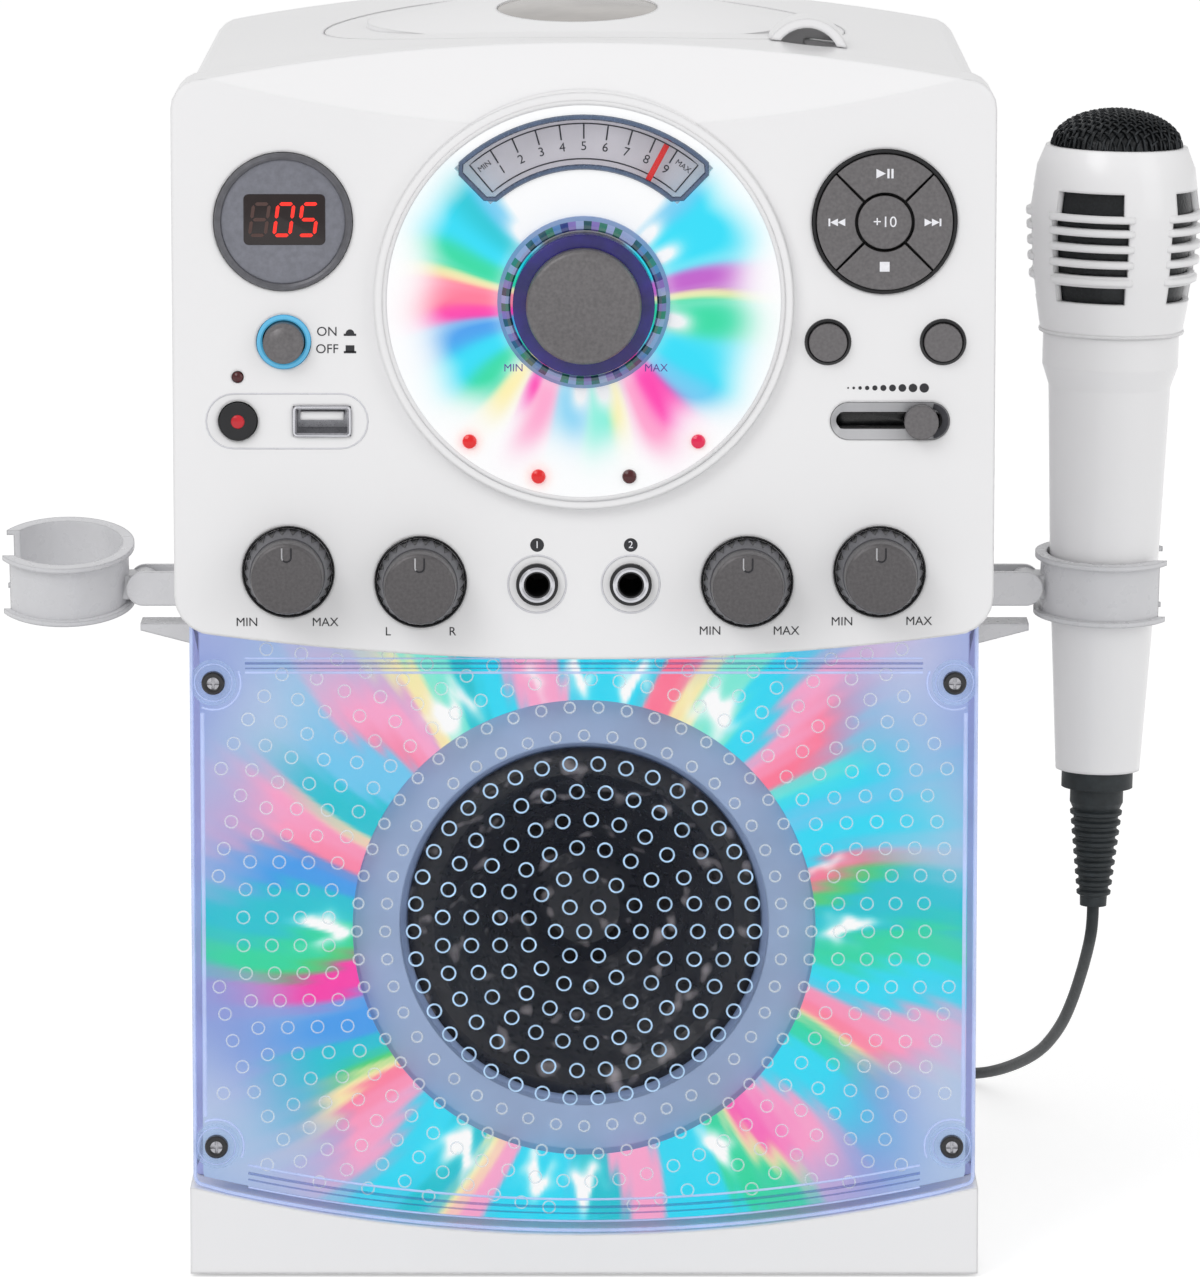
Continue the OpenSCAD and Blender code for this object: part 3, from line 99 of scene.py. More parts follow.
# --- camera
CAMERA_AT = (4.43, -2400, 543.64)
CAMERA_PITCH = 9
CAMERA_LENS = 235.92

camera_data = bpy.data.cameras.new("camera")
camera_data.sensor_width = 36
camera_data.lens = CAMERA_LENS
camera = bpy.data.objects.new("camera", camera_data)
camera.location = Vector(CAMERA_AT) * MM
camera.rotation_euler = (math.radians(90 - CAMERA_PITCH), 0, 0)
camera_data.clip_end = 60
bpy.context.scene.collection.objects.link(camera)
bpy.context.scene.camera = camera


# --- materials
def linear(colour):
    """An sRGB colour as a linear one with alpha 1."""
    return tuple(c / 12.92 if c < 0.04045 else ((c + 0.055) / 1.055) ** 2.4 for c in colour[:3]) + (1,)


def feed(node, inputs):
    """Puts a value, or links another node's output, into each of a node's named inputs."""
    for socket, value in inputs.items():
        if isinstance(value, bpy.types.NodeSocket):
            node.id_data.links.new(value, node.inputs[socket])
        else:
            node.inputs[socket].default_value = value


def add_node(tree, kind, inputs, **values):
    made = tree.nodes.new(kind)
    for key, value in values.items():
        setattr(made, key, value)
    feed(made, inputs)
    return made


def make_material(name, colour, rough=0.35, metal=0.0, specular=0.5, alpha=1.0, mottle=0.02,
                  mottle_size=14.0, rough_change=0.06, grain=0.0, grain_size=0.35, edge=0.0, coat=0.0,
                  glow=None, spots=None, painted=False):
    """A Principled material whose colour, roughness and relief vary with place. Sizes are millimetres.

    glow is (colour, strength), spots is (size, colour, noise where they start, noise where they are full) for
    pale patches, which on the cone are painted highlights, and painted takes colour and glow from the mesh.
    """
    material = bpy.data.materials.new(name)
    material.use_nodes = True
    tree = material.node_tree
    place = tree.nodes.new("ShaderNodeTexCoord").outputs["Object"]

    def noise(size, detail):
        return add_node(tree, "ShaderNodeTexNoise", {"Vector": place, "Scale": 1 / (size * MM),
                                                     "Detail": detail}).outputs["Fac"]

    def span(value, from_low, from_high, to_low, to_high):
        return add_node(tree, "ShaderNodeMapRange", {
            "Value": value, "From Min": from_low, "From Max": from_high, "To Min": max(0.02, to_low),
            "To Max": to_high}).outputs["Result"]

    def mix(value, starts, ends, under, over):
        """Goes from one colour to the other as the value goes from starts to ends."""
        return add_node(tree, "ShaderNodeMix", {"Factor": span(value, starts, ends, 0.0, 1.0),
                                                6: under, 7: over}, data_type="RGBA").outputs[2]

    dark = tuple(c * (1 - mottle) for c in colour)
    pale = tuple(min(1, c * (1 + mottle)) for c in colour)
    tint = mix(noise(mottle_size, 3), 0.3, 0.7, linear(dark), linear(pale))
    # noise lays the spots' colour in patches, which the cone uses as painted highlights
    if spots:
        size, spot_colour, starts, ends = spots
        tint = mix(noise(size, 1), starts, ends, tint, linear(spot_colour))
    inputs = {"Base Color": tint, "Metallic": metal, "Specular IOR Level": specular, "Alpha": alpha,
              "IOR": 1.5, "Coat Weight": coat, "Coat Roughness": 0.08,
              "Roughness": span(noise(mottle_size / 5, 4), 0.3, 0.7, rough - rough_change,
                                rough + rough_change)}
    if edge:
        bevel = add_node(tree, "ShaderNodeBevel", {"Radius": edge * MM}, samples=4)
        inputs["Normal"] = bevel.outputs["Normal"]
    if grain:
        relief = {"Height": noise(grain_size, 2), "Distance": grain * MM}
        if edge:
            relief["Normal"] = inputs["Normal"]
        inputs["Normal"] = add_node(tree, "ShaderNodeBump", relief).outputs["Normal"]
    if glow:
        inputs.update({"Emission Color": linear(glow[0]), "Emission Strength": glow[1]})
    if painted:
        for layer, socket in (("tint", "Base Color"), ("glow", "Emission Color")):
            made = add_node(tree, "ShaderNodeVertexColor", {}, layer_name=layer)
            inputs[socket] = made.outputs["Color"]
        inputs["Emission Strength"] = 1.0
    feed(tree.nodes["Principled BSDF"], inputs)
    return material


# finishes named as the record's slots
FINISHES = {
    "white_shell": dict(colour=(0.935, 0.933, 0.937), rough=0.28, mottle=0.004, mottle_size=90,
                        rough_change=0.006, edge=1.4, grain=0.0008, grain_size=1.2, coat=0.1),
    "clear_plastic": dict(colour=(0.52, 0.58, 0.72), rough=0.10, alpha=0.014, mottle_size=30,
                          rough_change=0.03, specular=0.25, edge=0.6),
    "lavender": dict(colour=(0.68, 0.70, 0.88), rough=0.5, mottle=0.05, mottle_size=22),
    # the frosted ring's glow is painted light from the lamps behind it
    "frosted": dict(colour=(0.59, 0.66, 0.78), rough=0.5, mottle=0.05, mottle_size=26, grain=0.02,
                    grain_size=0.6, edge=0.8, glow=((0.55, 0.65, 0.85), 0.07)),
    # the cone's spots are painted highlights: pale patches for reflections on the glossy black cone
    "cone_black": dict(colour=(0.03, 0.028, 0.035), rough=0.30, mottle=0.5, mottle_size=7, specular=0.3,
                       grain=0.5, grain_size=5, spots=(6.5, (0.66, 0.63, 0.64), 0.62, 0.86)),
    "lamp_white": dict(colour=(0.93, 0.93, 0.90), rough=0.5, edge=0.4),
    "dial_white": dict(colour=(0.90, 0.94, 1.0), rough=0.3, edge=0.8),
    # the gauge plate's glow is painted light from the lamps behind it
    "gauge_white": dict(colour=(0.72, 0.71, 0.73), rough=0.45, mottle=0.06, mottle_size=22,
                        glow=((0.80, 0.78, 0.82), 0.22)),
    "crystal": dict(colour=(0.62, 0.70, 0.86), rough=0.12, alpha=0.6, mottle=0.1, mottle_size=3,
                    specular=0.8, edge=0.5),
    "silver_plastic": dict(colour=(0.42, 0.41, 0.415), rough=0.40, metal=0.45, mottle=0.07,
                           mottle_size=0.9, grain=0.02, grain_size=0.25, edge=0.7),
    "display_dark": dict(colour=(0.10, 0.04, 0.04), rough=0.2, mottle=0.1, edge=0.3),
    "red_lens": dict(colour=(0.80, 0.10, 0.16), rough=0.2, mottle=0.08, mottle_size=3, edge=0.4),
    "steel": dict(colour=(0.68, 0.68, 0.70), rough=0.3, metal=0.9, mottle=0.05, mottle_size=2,
                  grain=0.01, edge=0.3),
    "black_plastic": dict(colour=(0.10, 0.10, 0.11), rough=0.38, mottle=0.12, mottle_size=5,
                          specular=0.4, grain=0.01, edge=0.4),
    "board_green": dict(colour=(0.10, 0.32, 0.18), rough=0.45, mottle=0.15, mottle_size=5),
    "gear_grey": dict(colour=(0.66, 0.66, 0.68), rough=0.5, mottle=0.05),
    "brass": dict(colour=(0.83, 0.66, 0.30), rough=0.22, metal=1.0, mottle=0.05, edge=0.3),
    "clip_grey": dict(colour=(0.83, 0.83, 0.84), rough=0.30, mottle=0.012, mottle_size=20, edge=1.0,
                      grain=0.004, grain_size=0.7),
    "window_smoke": dict(colour=(0.62, 0.60, 0.58), rough=0.16, mottle=0.08, mottle_size=18, coat=0.3),
    "tinted_purple": dict(colour=(0.17, 0.14, 0.47), rough=0.18, alpha=0.92, mottle=0.12, mottle_size=6,
                          edge=1.0),
    "needle_red": dict(colour=(0.88, 0.14, 0.12), rough=0.3, mottle=0.04, edge=0.2),
    "black_rubber": dict(colour=(0.15, 0.17, 0.18), rough=0.5, mottle=0.12, mottle_size=3, specular=0.35,
                         grain=0.015, grain_size=0.4, edge=0.3),
    "mesh_black": dict(colour=(0.08, 0.09, 0.10), metal=0.4, mottle=0.3, mottle_size=0.8, grain=0.15,
                       grain_size=0.9),
    "plug_chrome": dict(colour=(0.78, 0.78, 0.80), rough=0.15, metal=1.0, mottle=0.04),
}
# finishes of the scene's own pieces, and the record's slot that each belongs to
OWN_FINISHES = {
    "clear_plastic": {
        "edge_glow": dict(colour=(0.78, 0.83, 0.97), rough=0.25, alpha=0.62, mottle=0.04,
                          glow=((0.70, 0.80, 1.0), 0.12)),
        "edge_shade": dict(colour=(0.24, 0.37, 0.70), rough=0.3, alpha=0.32, mottle=0.06, mottle_size=20),
        "boss_clear": dict(colour=(0.70, 0.80, 0.95), rough=0.2, alpha=0.3, mottle=0.06, mottle_size=12),
        # the sound holes' rims glow pale blue: painted edge light of the clear front
        "hole_rim": dict(colour=(0.66, 0.76, 0.86), rough=0.15, mottle=0.16, mottle_size=5,
                         glow=((0.62, 0.80, 0.95), 0.22)),
        # the bumps are drawn as pale rings: painted highlight round their edges
        "bump_highlight_rim": dict(colour=(0.93, 0.96, 1.0), rough=0.15, alpha=0.36, mottle=0.05, mottle_size=5)},
    "silver_plastic": {
        "steel_blue": dict(colour=(0.34, 0.40, 0.50), rough=0.25, metal=0.5, mottle=0.08, mottle_size=4),
        "dark_satin": dict(colour=(0.36, 0.36, 0.38), rough=0.38, metal=0.3, mottle=0.06, mottle_size=2),
        "satin_face": dict(colour=(0.47, 0.475, 0.51), rough=0.4, metal=0.3, mottle=0.05,
                           mottle_size=1.5, grain=0.02, grain_size=0.25),
        "pale_satin": dict(colour=(0.72, 0.72, 0.73), metal=0.2, mottle=0.04),
        "knob_grey": dict(colour=(0.35, 0.34, 0.345), rough=0.38, metal=0.45, mottle=0.07,
                          mottle_size=0.9, grain=0.02, grain_size=0.25, edge=0.6)},
    "red_lens": {
        "red_glow": dict(colour=(0.74, 0.06, 0.08), rough=0.15, mottle=0.05,
                         glow=((0.90, 0.08, 0.10), 0.34)),
        "dark_red": dict(colour=(0.28, 0.04, 0.06), rough=0.2, mottle=0.1, mottle_size=2),
        "crimson_glow": dict(colour=(0.70, 0.04, 0.22), rough=0.15, mottle=0.05,
                             glow=((0.90, 0.06, 0.32), 0.4)),
        "cyan_glow": dict(colour=(0.36, 0.62, 0.74), rough=0.3, mottle=0.04,
                          glow=((0.30, 0.75, 0.95), 0.34)),
        "digit_glow": dict(colour=(0.85, 0.12, 0.08), rough=0.3, mottle=0.04,
                           glow=((1.0, 0.16, 0.10), 0.75))},
    "black_plastic": {
        "black_gloss": dict(colour=(0.10, 0.10, 0.11), rough=0.22, mottle=0.1, mottle_size=4),
        "ink": dict(colour=(0.13, 0.13, 0.15), rough=0.5, mottle=0.1, mottle_size=1.0)},
    "lavender": {"light_field": dict(colour=(0.7, 0.7, 0.9), rough=0.4, painted=True)},
    "crystal": {"crystal_facets": dict(colour=(0.3, 0.3, 0.6), rough=0.12, specular=0.8, painted=True)},
    "display_dark": {"unlit_digit": dict(colour=(0.30, 0.20, 0.18), rough=0.4, mottle=0.08)},
    "gauge_white": {"ink_pale": dict(colour=(0.93, 0.93, 0.95), rough=0.4, mottle=0.03, mottle_size=1.0)},
    "tinted_purple": {"ink_purple": dict(colour=(0.40, 0.30, 0.62), rough=0.5, mottle=0.08,
                                         mottle_size=1)},
    "mesh_black": {"wire_black": dict(colour=(0.12, 0.13, 0.14), rough=0.28, metal=0.6, mottle=0.3,
                                      mottle_size=1.5)},
    "white_shell": {"shell_line": dict(colour=(0.84, 0.84, 0.86), rough=0.3)},
}
SLOT_OF = {name: slot for slot, finishes in OWN_FINISHES.items() for name in finishes}
SLOT_OF.update((m["slot"], m["slot"]) for m in frame["record"]["materials"])
for finishes in OWN_FINISHES.values():
    FINISHES.update(finishes)
MATERIALS = {name: make_material(name, **finish) for name, finish in FINISHES.items()}


# --- building
def put_in_scene(name, data):
    made = bpy.data.objects.new(name, data)
    bpy.context.scene.collection.objects.link(made)
    return made


def finish_mesh(bm, name, smooth=35):
    """Writes a bmesh in millimetres as a mesh in metres, with outward faces and sharp edges kept."""
    bmesh.ops.recalc_face_normals(bm, faces=bm.faces[:])
    bmesh.ops.scale(bm, vec=(MM,) * 3, verts=bm.verts[:])
    mesh = bpy.data.meshes.new(name)
    bm.to_mesh(mesh)
    bm.free()
    mesh.shade_smooth()
    mesh.set_sharp_from_angle(angle=math.radians(smooth))
    return mesh


def piece(name, bm, finish, body="cabinet", slot=None, stands_for=None, smooth=35):
    """Adds a piece of the object that rides on a CAD body, or on none."""
    obj = put_in_scene(name, finish_mesh(bm, name, smooth))
    obj.data.materials.append(MATERIALS[finish])
    if stands_for:
        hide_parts(stands_for)
    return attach(obj, body) if body else obj


def join_rows(bm, rows, around=True, close=False, caps=False):
    """Faces between rows of vertices. around closes each row, close joins the last row to the first, and
    caps fills the first and the last row."""
    for a, b in zip(rows, rows[1:] + (rows[:1] if close else [])):
        for i in range(len(a) if around else len(a) - 1):
            j = (i + 1) % len(a)
            corners = list(dict.fromkeys((a[i], b[i], b[j], a[j])))
            if len(corners) > 2:
                bm.faces.new(corners)
    if caps:
        bm.faces.new(rows[0])
        bm.faces.new(rows[-1][::-1])
    return bm


def gapped_shell(bm, front, rear, gone):
    """A shell between two grids of vertices [angle][step] round an axis, open where gone(angle, step)."""
    turns, last = len(front), len(front[0]) - 2
    for i in range(turns):
        k, before = (i + 1) % turns, (i - 1) % turns
        for j in range(last + 1):
            if gone(i, j):
                continue
            for grid in (front, rear):
                bm.faces.new((grid[i][j], grid[i][j + 1], grid[k][j + 1], grid[k][j]))
            if j == 0 or gone(i, j - 1):
                bm.faces.new((front[i][j], front[k][j], rear[k][j], rear[i][j]))
            if j == last or gone(i, j + 1):
                bm.faces.new((front[i][j + 1], front[k][j + 1], rear[k][j + 1], rear[i][j + 1]))
            for side, m in ((before, i), (k, k)):
                if gone(side, j):
                    bm.faces.new((front[m][j], front[m][j + 1], rear[m][j + 1], rear[m][j]))
    bmesh.ops.delete(bm, geom=[v for v in bm.verts if not v.link_faces], context="VERTS")
    return bm


def turned(bm, profile, centre=(0, 0, 0), steps=64, to=Matrix.Identity(3), close=False):
    """Turns (radius, along) about an axis, which is local Z and which `to` turns into place."""
    rows = []
    for r, along in profile:
        spots = [(0, 0)] if r < 1e-6 else [(r * math.cos(TAU * i / steps), r * math.sin(TAU * i / steps))
                                           for i in range(steps)]
        row = [bm.verts.new(Vector(centre) + to @ Vector((u, v, along))) for u, v in spots]
        rows.append(row * (steps // len(row)))
    return join_rows(bm, rows, close=close)


ALONG_Y = Matrix(((1, 0, 0), (0, 0, 1), (0, 1, 0)))  # local Z along +Y, local Y up


def knob(bm, x, z, y, profile, steps=64, close=False):
    """Turns (radius, depth behind y) about an axis along Y. close joins the profile's ends, for a ring."""
    return turned(bm, profile, (x, y, z), steps, ALONG_Y, close)


def ring(bm, x, z, y, r, tube, steps=32, sides=8, flat=1.0):
    """A torus round an axis along Y; flat squeezes it along Y."""
    profile = [(r + tube * math.cos(TAU * i / sides), flat * tube * math.sin(TAU * i / sides))
               for i in range(sides)]
    return knob(bm, x, z, y, profile, steps, close=True)


def prism(bm, outline, y0, y1, bevel=0.0):
    """A closed solid with an outline of (x, z), its front edges rounded."""
    front, back = ([bm.verts.new((x, y, z)) for x, z in outline] for y in (y0, y1))
    face = bm.faces.new(front)
    bm.faces.new(back[::-1])
    join_rows(bm, [front, back])
    if bevel:
        bmesh.ops.bevel(bm, geom=list(face.edges), offset=bevel, offset_type="OFFSET",
                        segments=2, profile=0.5, affect="EDGES")
    return bm


def sleeve(bm, rows, around=True):
    """Joins outlines of (x, z), each at its y, round a closed section. Open outlines get end faces."""
    made = [[bm.verts.new((x, y, z)) for x, z in shape] for shape, y in rows]
    join_rows(bm, made, around, close=True)
    for i in () if around else (0, -1):
        bm.faces.new([row[i] for row in made])
    return bm


def tube(bm, points, r, sides=8, closed=False):
    """A round tube along points."""
    points = [Vector(p) for p in points]
    n = len(points)
    side, rings = None, []
    for i, p in enumerate(points):
        before = points[(i - 1) % n] if closed or i else p
        after = points[(i + 1) % n] if closed or i < n - 1 else p
        along = (after - before).normalized()
        if side is None:
            side = along.cross((0, 1, 0) if abs(along.y) < 0.9 else (0, 0, 1))
        side = (side - along * side.dot(along)).normalized()
        other = along.cross(side)
        rings.append([bm.verts.new(p + r * (side * math.cos(TAU * k / sides)
                                            + other * math.sin(TAU * k / sides))) for k in range(sides)])
    return join_rows(bm, rings, close=closed, caps=not closed)


def arc(x, z, r, a0, a1, n):
    """Points (x, z) on an arc, angles in degrees from +X towards +Z."""
    return [(x + r * math.cos(math.radians(a0 + (a1 - a0) * i / n)),
             z + r * math.sin(math.radians(a0 + (a1 - a0) * i / n))) for i in range(n + 1)]


def stadium(x, z, w, h, n=10):
    return arc(x + (w - h) / 2, z, h / 2, -90, 90, n) + arc(x - (w - h) / 2, z, h / 2, 90, 270, n)


def rounded_box(x, z, w, h, r, n=4):
    half_w, half_h = w / 2 - r, h / 2 - r
    return [p for i, (u, v) in enumerate(((1, 1), (-1, 1), (-1, -1), (1, -1)))
            for p in arc(x + u * half_w, z + v * half_h, r, 90 * i, 90 * i + 90, n)]


def bar(w, h):
    return [(-w / 2, -h / 2), (w / 2, -h / 2), (w / 2, h / 2), (-w / 2, h / 2)]


def triangle(size, to=1):
    return [(-to * size / 2, -size / 2), (to * size / 2, 0), (-to * size / 2, size / 2)]


def shifted(shape, dx, dz):
    return [(x + dx, z + dz) for x, z in shape]


def line_on_front(bm, points, y, width, closed=False):
    """A raised hairline on a front face."""
    return tube(bm, [(x, y, z) for x, z in points], width / 2, 6, closed)


def words(bm, text, x, z, y, size, turn=0.0):
    """Plain characters, centred at (x, z), as a thin print on a front face."""
    curve = bpy.data.curves.new("words", "FONT")
    curve.body = text
    curve.size = size
    curve.extrude = PRINT_T / 2
    curve.align_x, curve.align_y = "CENTER", "CENTER"
    curve.resolution_u = 4
    holder = put_in_scene("words", curve)
    bpy.context.view_layer.update()
    mesh = bpy.data.meshes.new_from_object(holder.evaluated_get(bpy.context.evaluated_depsgraph_get()))
    mesh.transform(Matrix.Translation((x, y, z)) @ Matrix.Rotation(math.radians(turn), 4, "Y")
                   @ Matrix.Rotation(math.radians(90), 4, "X"))
    bm.from_mesh(mesh)
    bpy.data.objects.remove(holder)
    bpy.data.meshes.remove(mesh)
    bpy.data.curves.remove(curve)
    return bm



# --- finishes of the CAD nodes
for node in frame["nodes"].values():
    node.data.materials[0] = MATERIALS[node.data.materials[0].name.split(".")[0]]


# --- cords
CORD_D = 3.5
CORD_ROUTE = [(147.4, 0, 86.35), (147.3, 0, 83), (147.1, 1.4, 79), (146.7, 5, 74.5), (146, 14, 67.4),
              (145.2, 24, 60.4), (144, 38, 51.3), (142.3, 54, 41.7), (140.1, 72, 32.8),
              (137.2, 90, 24.8), (132.9, 112, 16.8), (127.4, 136, 9.2), (121.6, 153, 4.4),
              (115, 163, 2.4), (106, 168, 1.9), (94, 169, 1.8), (78, 169, 1.8), (60, 169, 1.8),
              (42, 169, 1.8), (24, 169, 1.8), (6, 169, 1.8), (-8, 168.9, 1.8), (-16.5, 168.9, 1.8)]
TAIL_ROUTE = [(-16.5, 111.1, 15.15), (-13, 111.1, 15.15), (-8, 111.2, 14.4), (-1, 111.7, 11.9),
              (6, 112.6, 8.8), (12, 113.6, 6.7), (18, 114.3, 5.7), (23, 114.5, 5.5), (26.5, 114.5, 5.5)]
LAYERS = 4
LAYER_TURNS = 4.5
FLAT_TURNS = LAYER_TURNS - 0.5  # the last half turn climbs to the next layer
TURN_STEP = 4.45
COIL_AT = (-20, 140)
COIL_OUT_R = 28.9
COIL_TURNS = LAYERS * LAYER_TURNS - 0.5
STEPS_PER_TURN = 24


def smooth_route(points, parts=4):
    """A Catmull-Rom line through the points."""
    p = [Vector(q) for q in points]
    made = []
    for i in range(len(p) - 1):
        a, b, c, d = p[max(i - 1, 0)], p[i], p[i + 1], p[min(i + 2, len(p) - 1)]
        for k in range(parts):
            t = k / parts
            made.append(0.5 * (2 * b + (c - a) * t + (2 * a - 5 * b + 4 * c - d) * t * t
                               + (3 * b - a - 3 * c + d) * t ** 3))
    return made + [p[-1]]


def coil_point(t):
    layer = min(LAYERS - 1, math.floor(t / LAYER_TURNS))
    u = t - layer * LAYER_TURNS
    inwards = min(u, FLAT_TURNS)
    r = COIL_OUT_R - TURN_STEP * (inwards if layer % 2 == 0 else FLAT_TURNS - inwards)
    climb = max(0, u - FLAT_TURNS) / 0.5 if layer < LAYERS - 1 else 0
    a = math.radians(90) + TAU * t
    return Vector((COIL_AT[0] + r * math.cos(a), COIL_AT[1] + r * math.sin(a),
                   CORD_D / 2 + 0.05 + TURN_STEP * (layer + climb)))


free_route, tail_route = smooth_route(CORD_ROUTE), smooth_route(TAIL_ROUTE)
coil_steps = round(COIL_TURNS * STEPS_PER_TURN)
coil_route = ([coil_point(0) + Vector((CORD_D, 0, 0))]
              + [coil_point(COIL_TURNS * i / coil_steps) for i in range(coil_steps + 1)]
              + [coil_point(COIL_TURNS) + Vector((CORD_D, 0, 0))])

free_cord = piece("mic_cord_free", tube(bmesh.new(), free_route, CORD_D / 2, 12), "black_rubber", body=None)
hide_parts("mic_cord")
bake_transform(free_cord)
coil = piece("mic_cord_coil", tube(bmesh.new(), coil_route, CORD_D / 2, 10), "black_rubber",
             stands_for="cord_coil")
tail = piece("mic_cord_tail", tube(bmesh.new(), tail_route, CORD_D / 2, 12), "black_rubber")

# a strap round the coil's section holds it
TIE_W, TIE_T = 8, 0.5
TIE_TURN = Matrix.Rotation(math.radians(200), 3, "Z")
TIE_LOW, TIE_HIGH = 0.1, CORD_D + TURN_STEP * (LAYERS - 1) + 0.9
tie_mid = Vector((COIL_OUT_R - TURN_STEP * FLAT_TURNS / 2, (TIE_LOW + TIE_HIGH) / 2))
half = TURN_STEP * FLAT_TURNS / 2 + CORD_D / 2 + 0.6
tie_outline = [(half, TIE_LOW + 1), (half, TIE_HIGH - 1.5), (half - 1.5, TIE_HIGH), (1.5 - half, TIE_HIGH),
               (-half, TIE_HIGH - 1.5), (-half, TIE_LOW + 1), (1 - half, TIE_LOW), (half - 1, TIE_LOW)]
tie_bm, tie_rows = bmesh.new(), []
for along, grow, floor_z in ((-TIE_W / 2, 0, TIE_LOW + 0.3), (TIE_W / 2, 0, TIE_LOW + 0.3),
                             (TIE_W / 2, TIE_T, 0.06), (-TIE_W / 2, TIE_T, 0.06)):
    row = []
    for u, z in tie_outline:
        out = Vector((u, z - tie_mid.y))
        spot = tie_mid + out * (1 + grow / out.length)
        row.append(tie_bm.verts.new(Vector((*COIL_AT, 0))
                                    + TIE_TURN @ Vector((spot.x, along, max(floor_z, spot.y)))))
    tie_rows.append(row)
tie = piece("coil_tie", join_rows(tie_bm, tie_rows, close=True), "black_plastic")


# --- lit fields
PINK, MAGENTA, SALMON = (0.98, 0.64, 0.80), (0.98, 0.20, 0.66), (1.0, 0.45, 0.58)
CYAN, SKY, BLUE = (0.10, 0.85, 0.96), (0.42, 0.78, 0.94), (0.24, 0.60, 0.92)
TEAL, GREEN, MINT = (0.02, 0.76, 0.82), (0.12, 0.84, 0.62), (0.48, 0.92, 0.84)
LIME, CREAM, VIOLET = (0.30, 0.82, 0.42), (0.98, 0.93, 0.68), (0.74, 0.34, 0.78)

# petals of light: angle from +X towards +Z, half its width in degrees, colour, and how far out it reaches
SPEAKER_PETALS = [
    (3, 6, TEAL, 125), (356, 5, GREEN, 125), (9.5, 3, LIME, 80), (12.5, 3.0, SALMON, 78), (20, 5, CYAN, 104),
    (26, 4, SKY, 96), (31, 5, CYAN, 92), (34, 3, MINT, 84), (41, 5, SALMON, 88), (45, 4, PINK, 106),
    (51, 4, CYAN, 104), (58, 4, MINT, 104), (64, 3, CREAM, 84), (70.5, 4.5, SALMON, 100), (77, 3, CYAN, 110),
    (84, 5, CYAN, 110), (92, 4, CYAN, 110), (100, 5.5, PINK, 110), (109, 4, CYAN, 106), (115, 4, TEAL, 106),
    (121, 3.5, MINT, 106), (126, 2.5, CREAM, 96), (133, 5, PINK, 100), (136, 2.5, SALMON, 76),
    (143, 5, SKY, 100), (151, 4.5, TEAL, 88), (156, 2, CREAM, 80), (162, 5, SALMON, 86), (160, 5, PINK, 104),
    (170, 4, BLUE, 92), (177, 5, TEAL, 125), (183, 4, GREEN, 118), (187, 2, LIME, 86), (191, 4, MAGENTA, 90),
    (201, 6, BLUE, 88), (209, 4, TEAL, 94), (213, 2.5, LIME, 78), (216.5, 1.8, CREAM, 84),
    (221, 4, SALMON, 82), (224, 5, PINK, 100), (232, 5.5, CYAN, 104), (240, 4, TEAL, 110),
    (246, 2.5, CREAM, 92), (250, 3.5, PINK, 112), (257, 4, CYAN, 112), (265, 5, CYAN, 112),
    (273, 3.5, TEAL, 112), (281, 5, PINK, 112), (289.5, 4, CYAN, 110), (297, 4.5, CYAN, 104),
    (304, 4, GREEN, 108), (308.5, 2, CREAM, 84), (313, 4.5, MAGENTA, 80), (315, 5, PINK, 98),
    (326, 6, CYAN, 92), (333, 4, GREEN, 80), (337, 2, CREAM, 84), (341, 4.5, SALMON, 88), (343, 4, PINK, 110),
    (350, 5, CYAN, 125)]
# hot lamps behind the front: angle, half width and strength
SPEAKER_HOT = [
    (0, 2.6, 1), (15, 1.2, 0.5), (59, 4.4, 1.1), (79, 2.8, 1), (91, 2.4, 0.9), (101, 1.6, 0.5),
    (117, 2.4, 0.6), (122, 3.6, 1.1), (180, 3.0, 1.1), (241, 4.2, 1.1), (259.5, 3.0, 1), (270, 3.0, 1),
    (301, 2.6, 1)]
DIAL_PETALS = [
    (10, 5, VIOLET, 43), (2.5, 2, CREAM, 42), (352, 8, GREEN, 43), (333, 9, CYAN, 45), (322, 5, SKY, 43),
    (309, 7.5, MAGENTA, 40), (300, 5, PINK, 45), (286, 4, CREAM, 37), (278, 6, MINT, 39), (262, 7, SKY, 36),
    (247, 5, PINK, 42), (239, 3, MAGENTA, 29), (229, 4, CREAM, 40), (218, 6, GREEN, 38), (207, 7, CYAN, 41),
    (197, 5.5, BLUE, 41), (186, 3.5, MAGENTA, 39), (178, 6, SALMON, 43), (169.5, 2.5, CREAM, 42),
    (161, 6, GREEN, 42), (150, 7, CYAN, 46), (142, 6, TEAL, 45), (133, 5, SKY, 43), (47, 5, SKY, 43),
    (38, 7, CYAN, 45), (26, 8, CYAN, 46)]
DIAL_HOT = [
    (46, 5, 1), (30, 5, 1), (348, 6, 1), (282, 6, 0.9), (268, 6, 0.9), (222, 4, 0.4), (132, 6, 0.9)]


def clamp(x):
    return max(0, min(1, x))


def blend_colour(a, b, t):
    return tuple(x + (y - x) * t for x, y in zip(a, b))


def apart(a, b):
    """Degrees from b to a, -180 to 180."""
    return (a - b + 180) % 360 - 180


def petal_light(petals, r, angle, fade, spread=1.0):
    """The petals' colour at a place and how strong it is from 0 to 1. The strongest petal sets the colour."""
    total, weight, colour = 0.0, 1e-9, (0, 0, 0)
    for at, half, tint, reach in petals:
        away = abs(apart(angle, at)) / (half * spread)
        if away < 2.2:
            share = math.exp(-away ** 2.4) / (1 + math.exp((r - reach) / fade))
            total += share
            weight += share ** 2
            colour = tuple(c + share ** 2 * x for c, x in zip(colour, tint))
    return tuple(c / weight for c in colour), min(1, total)


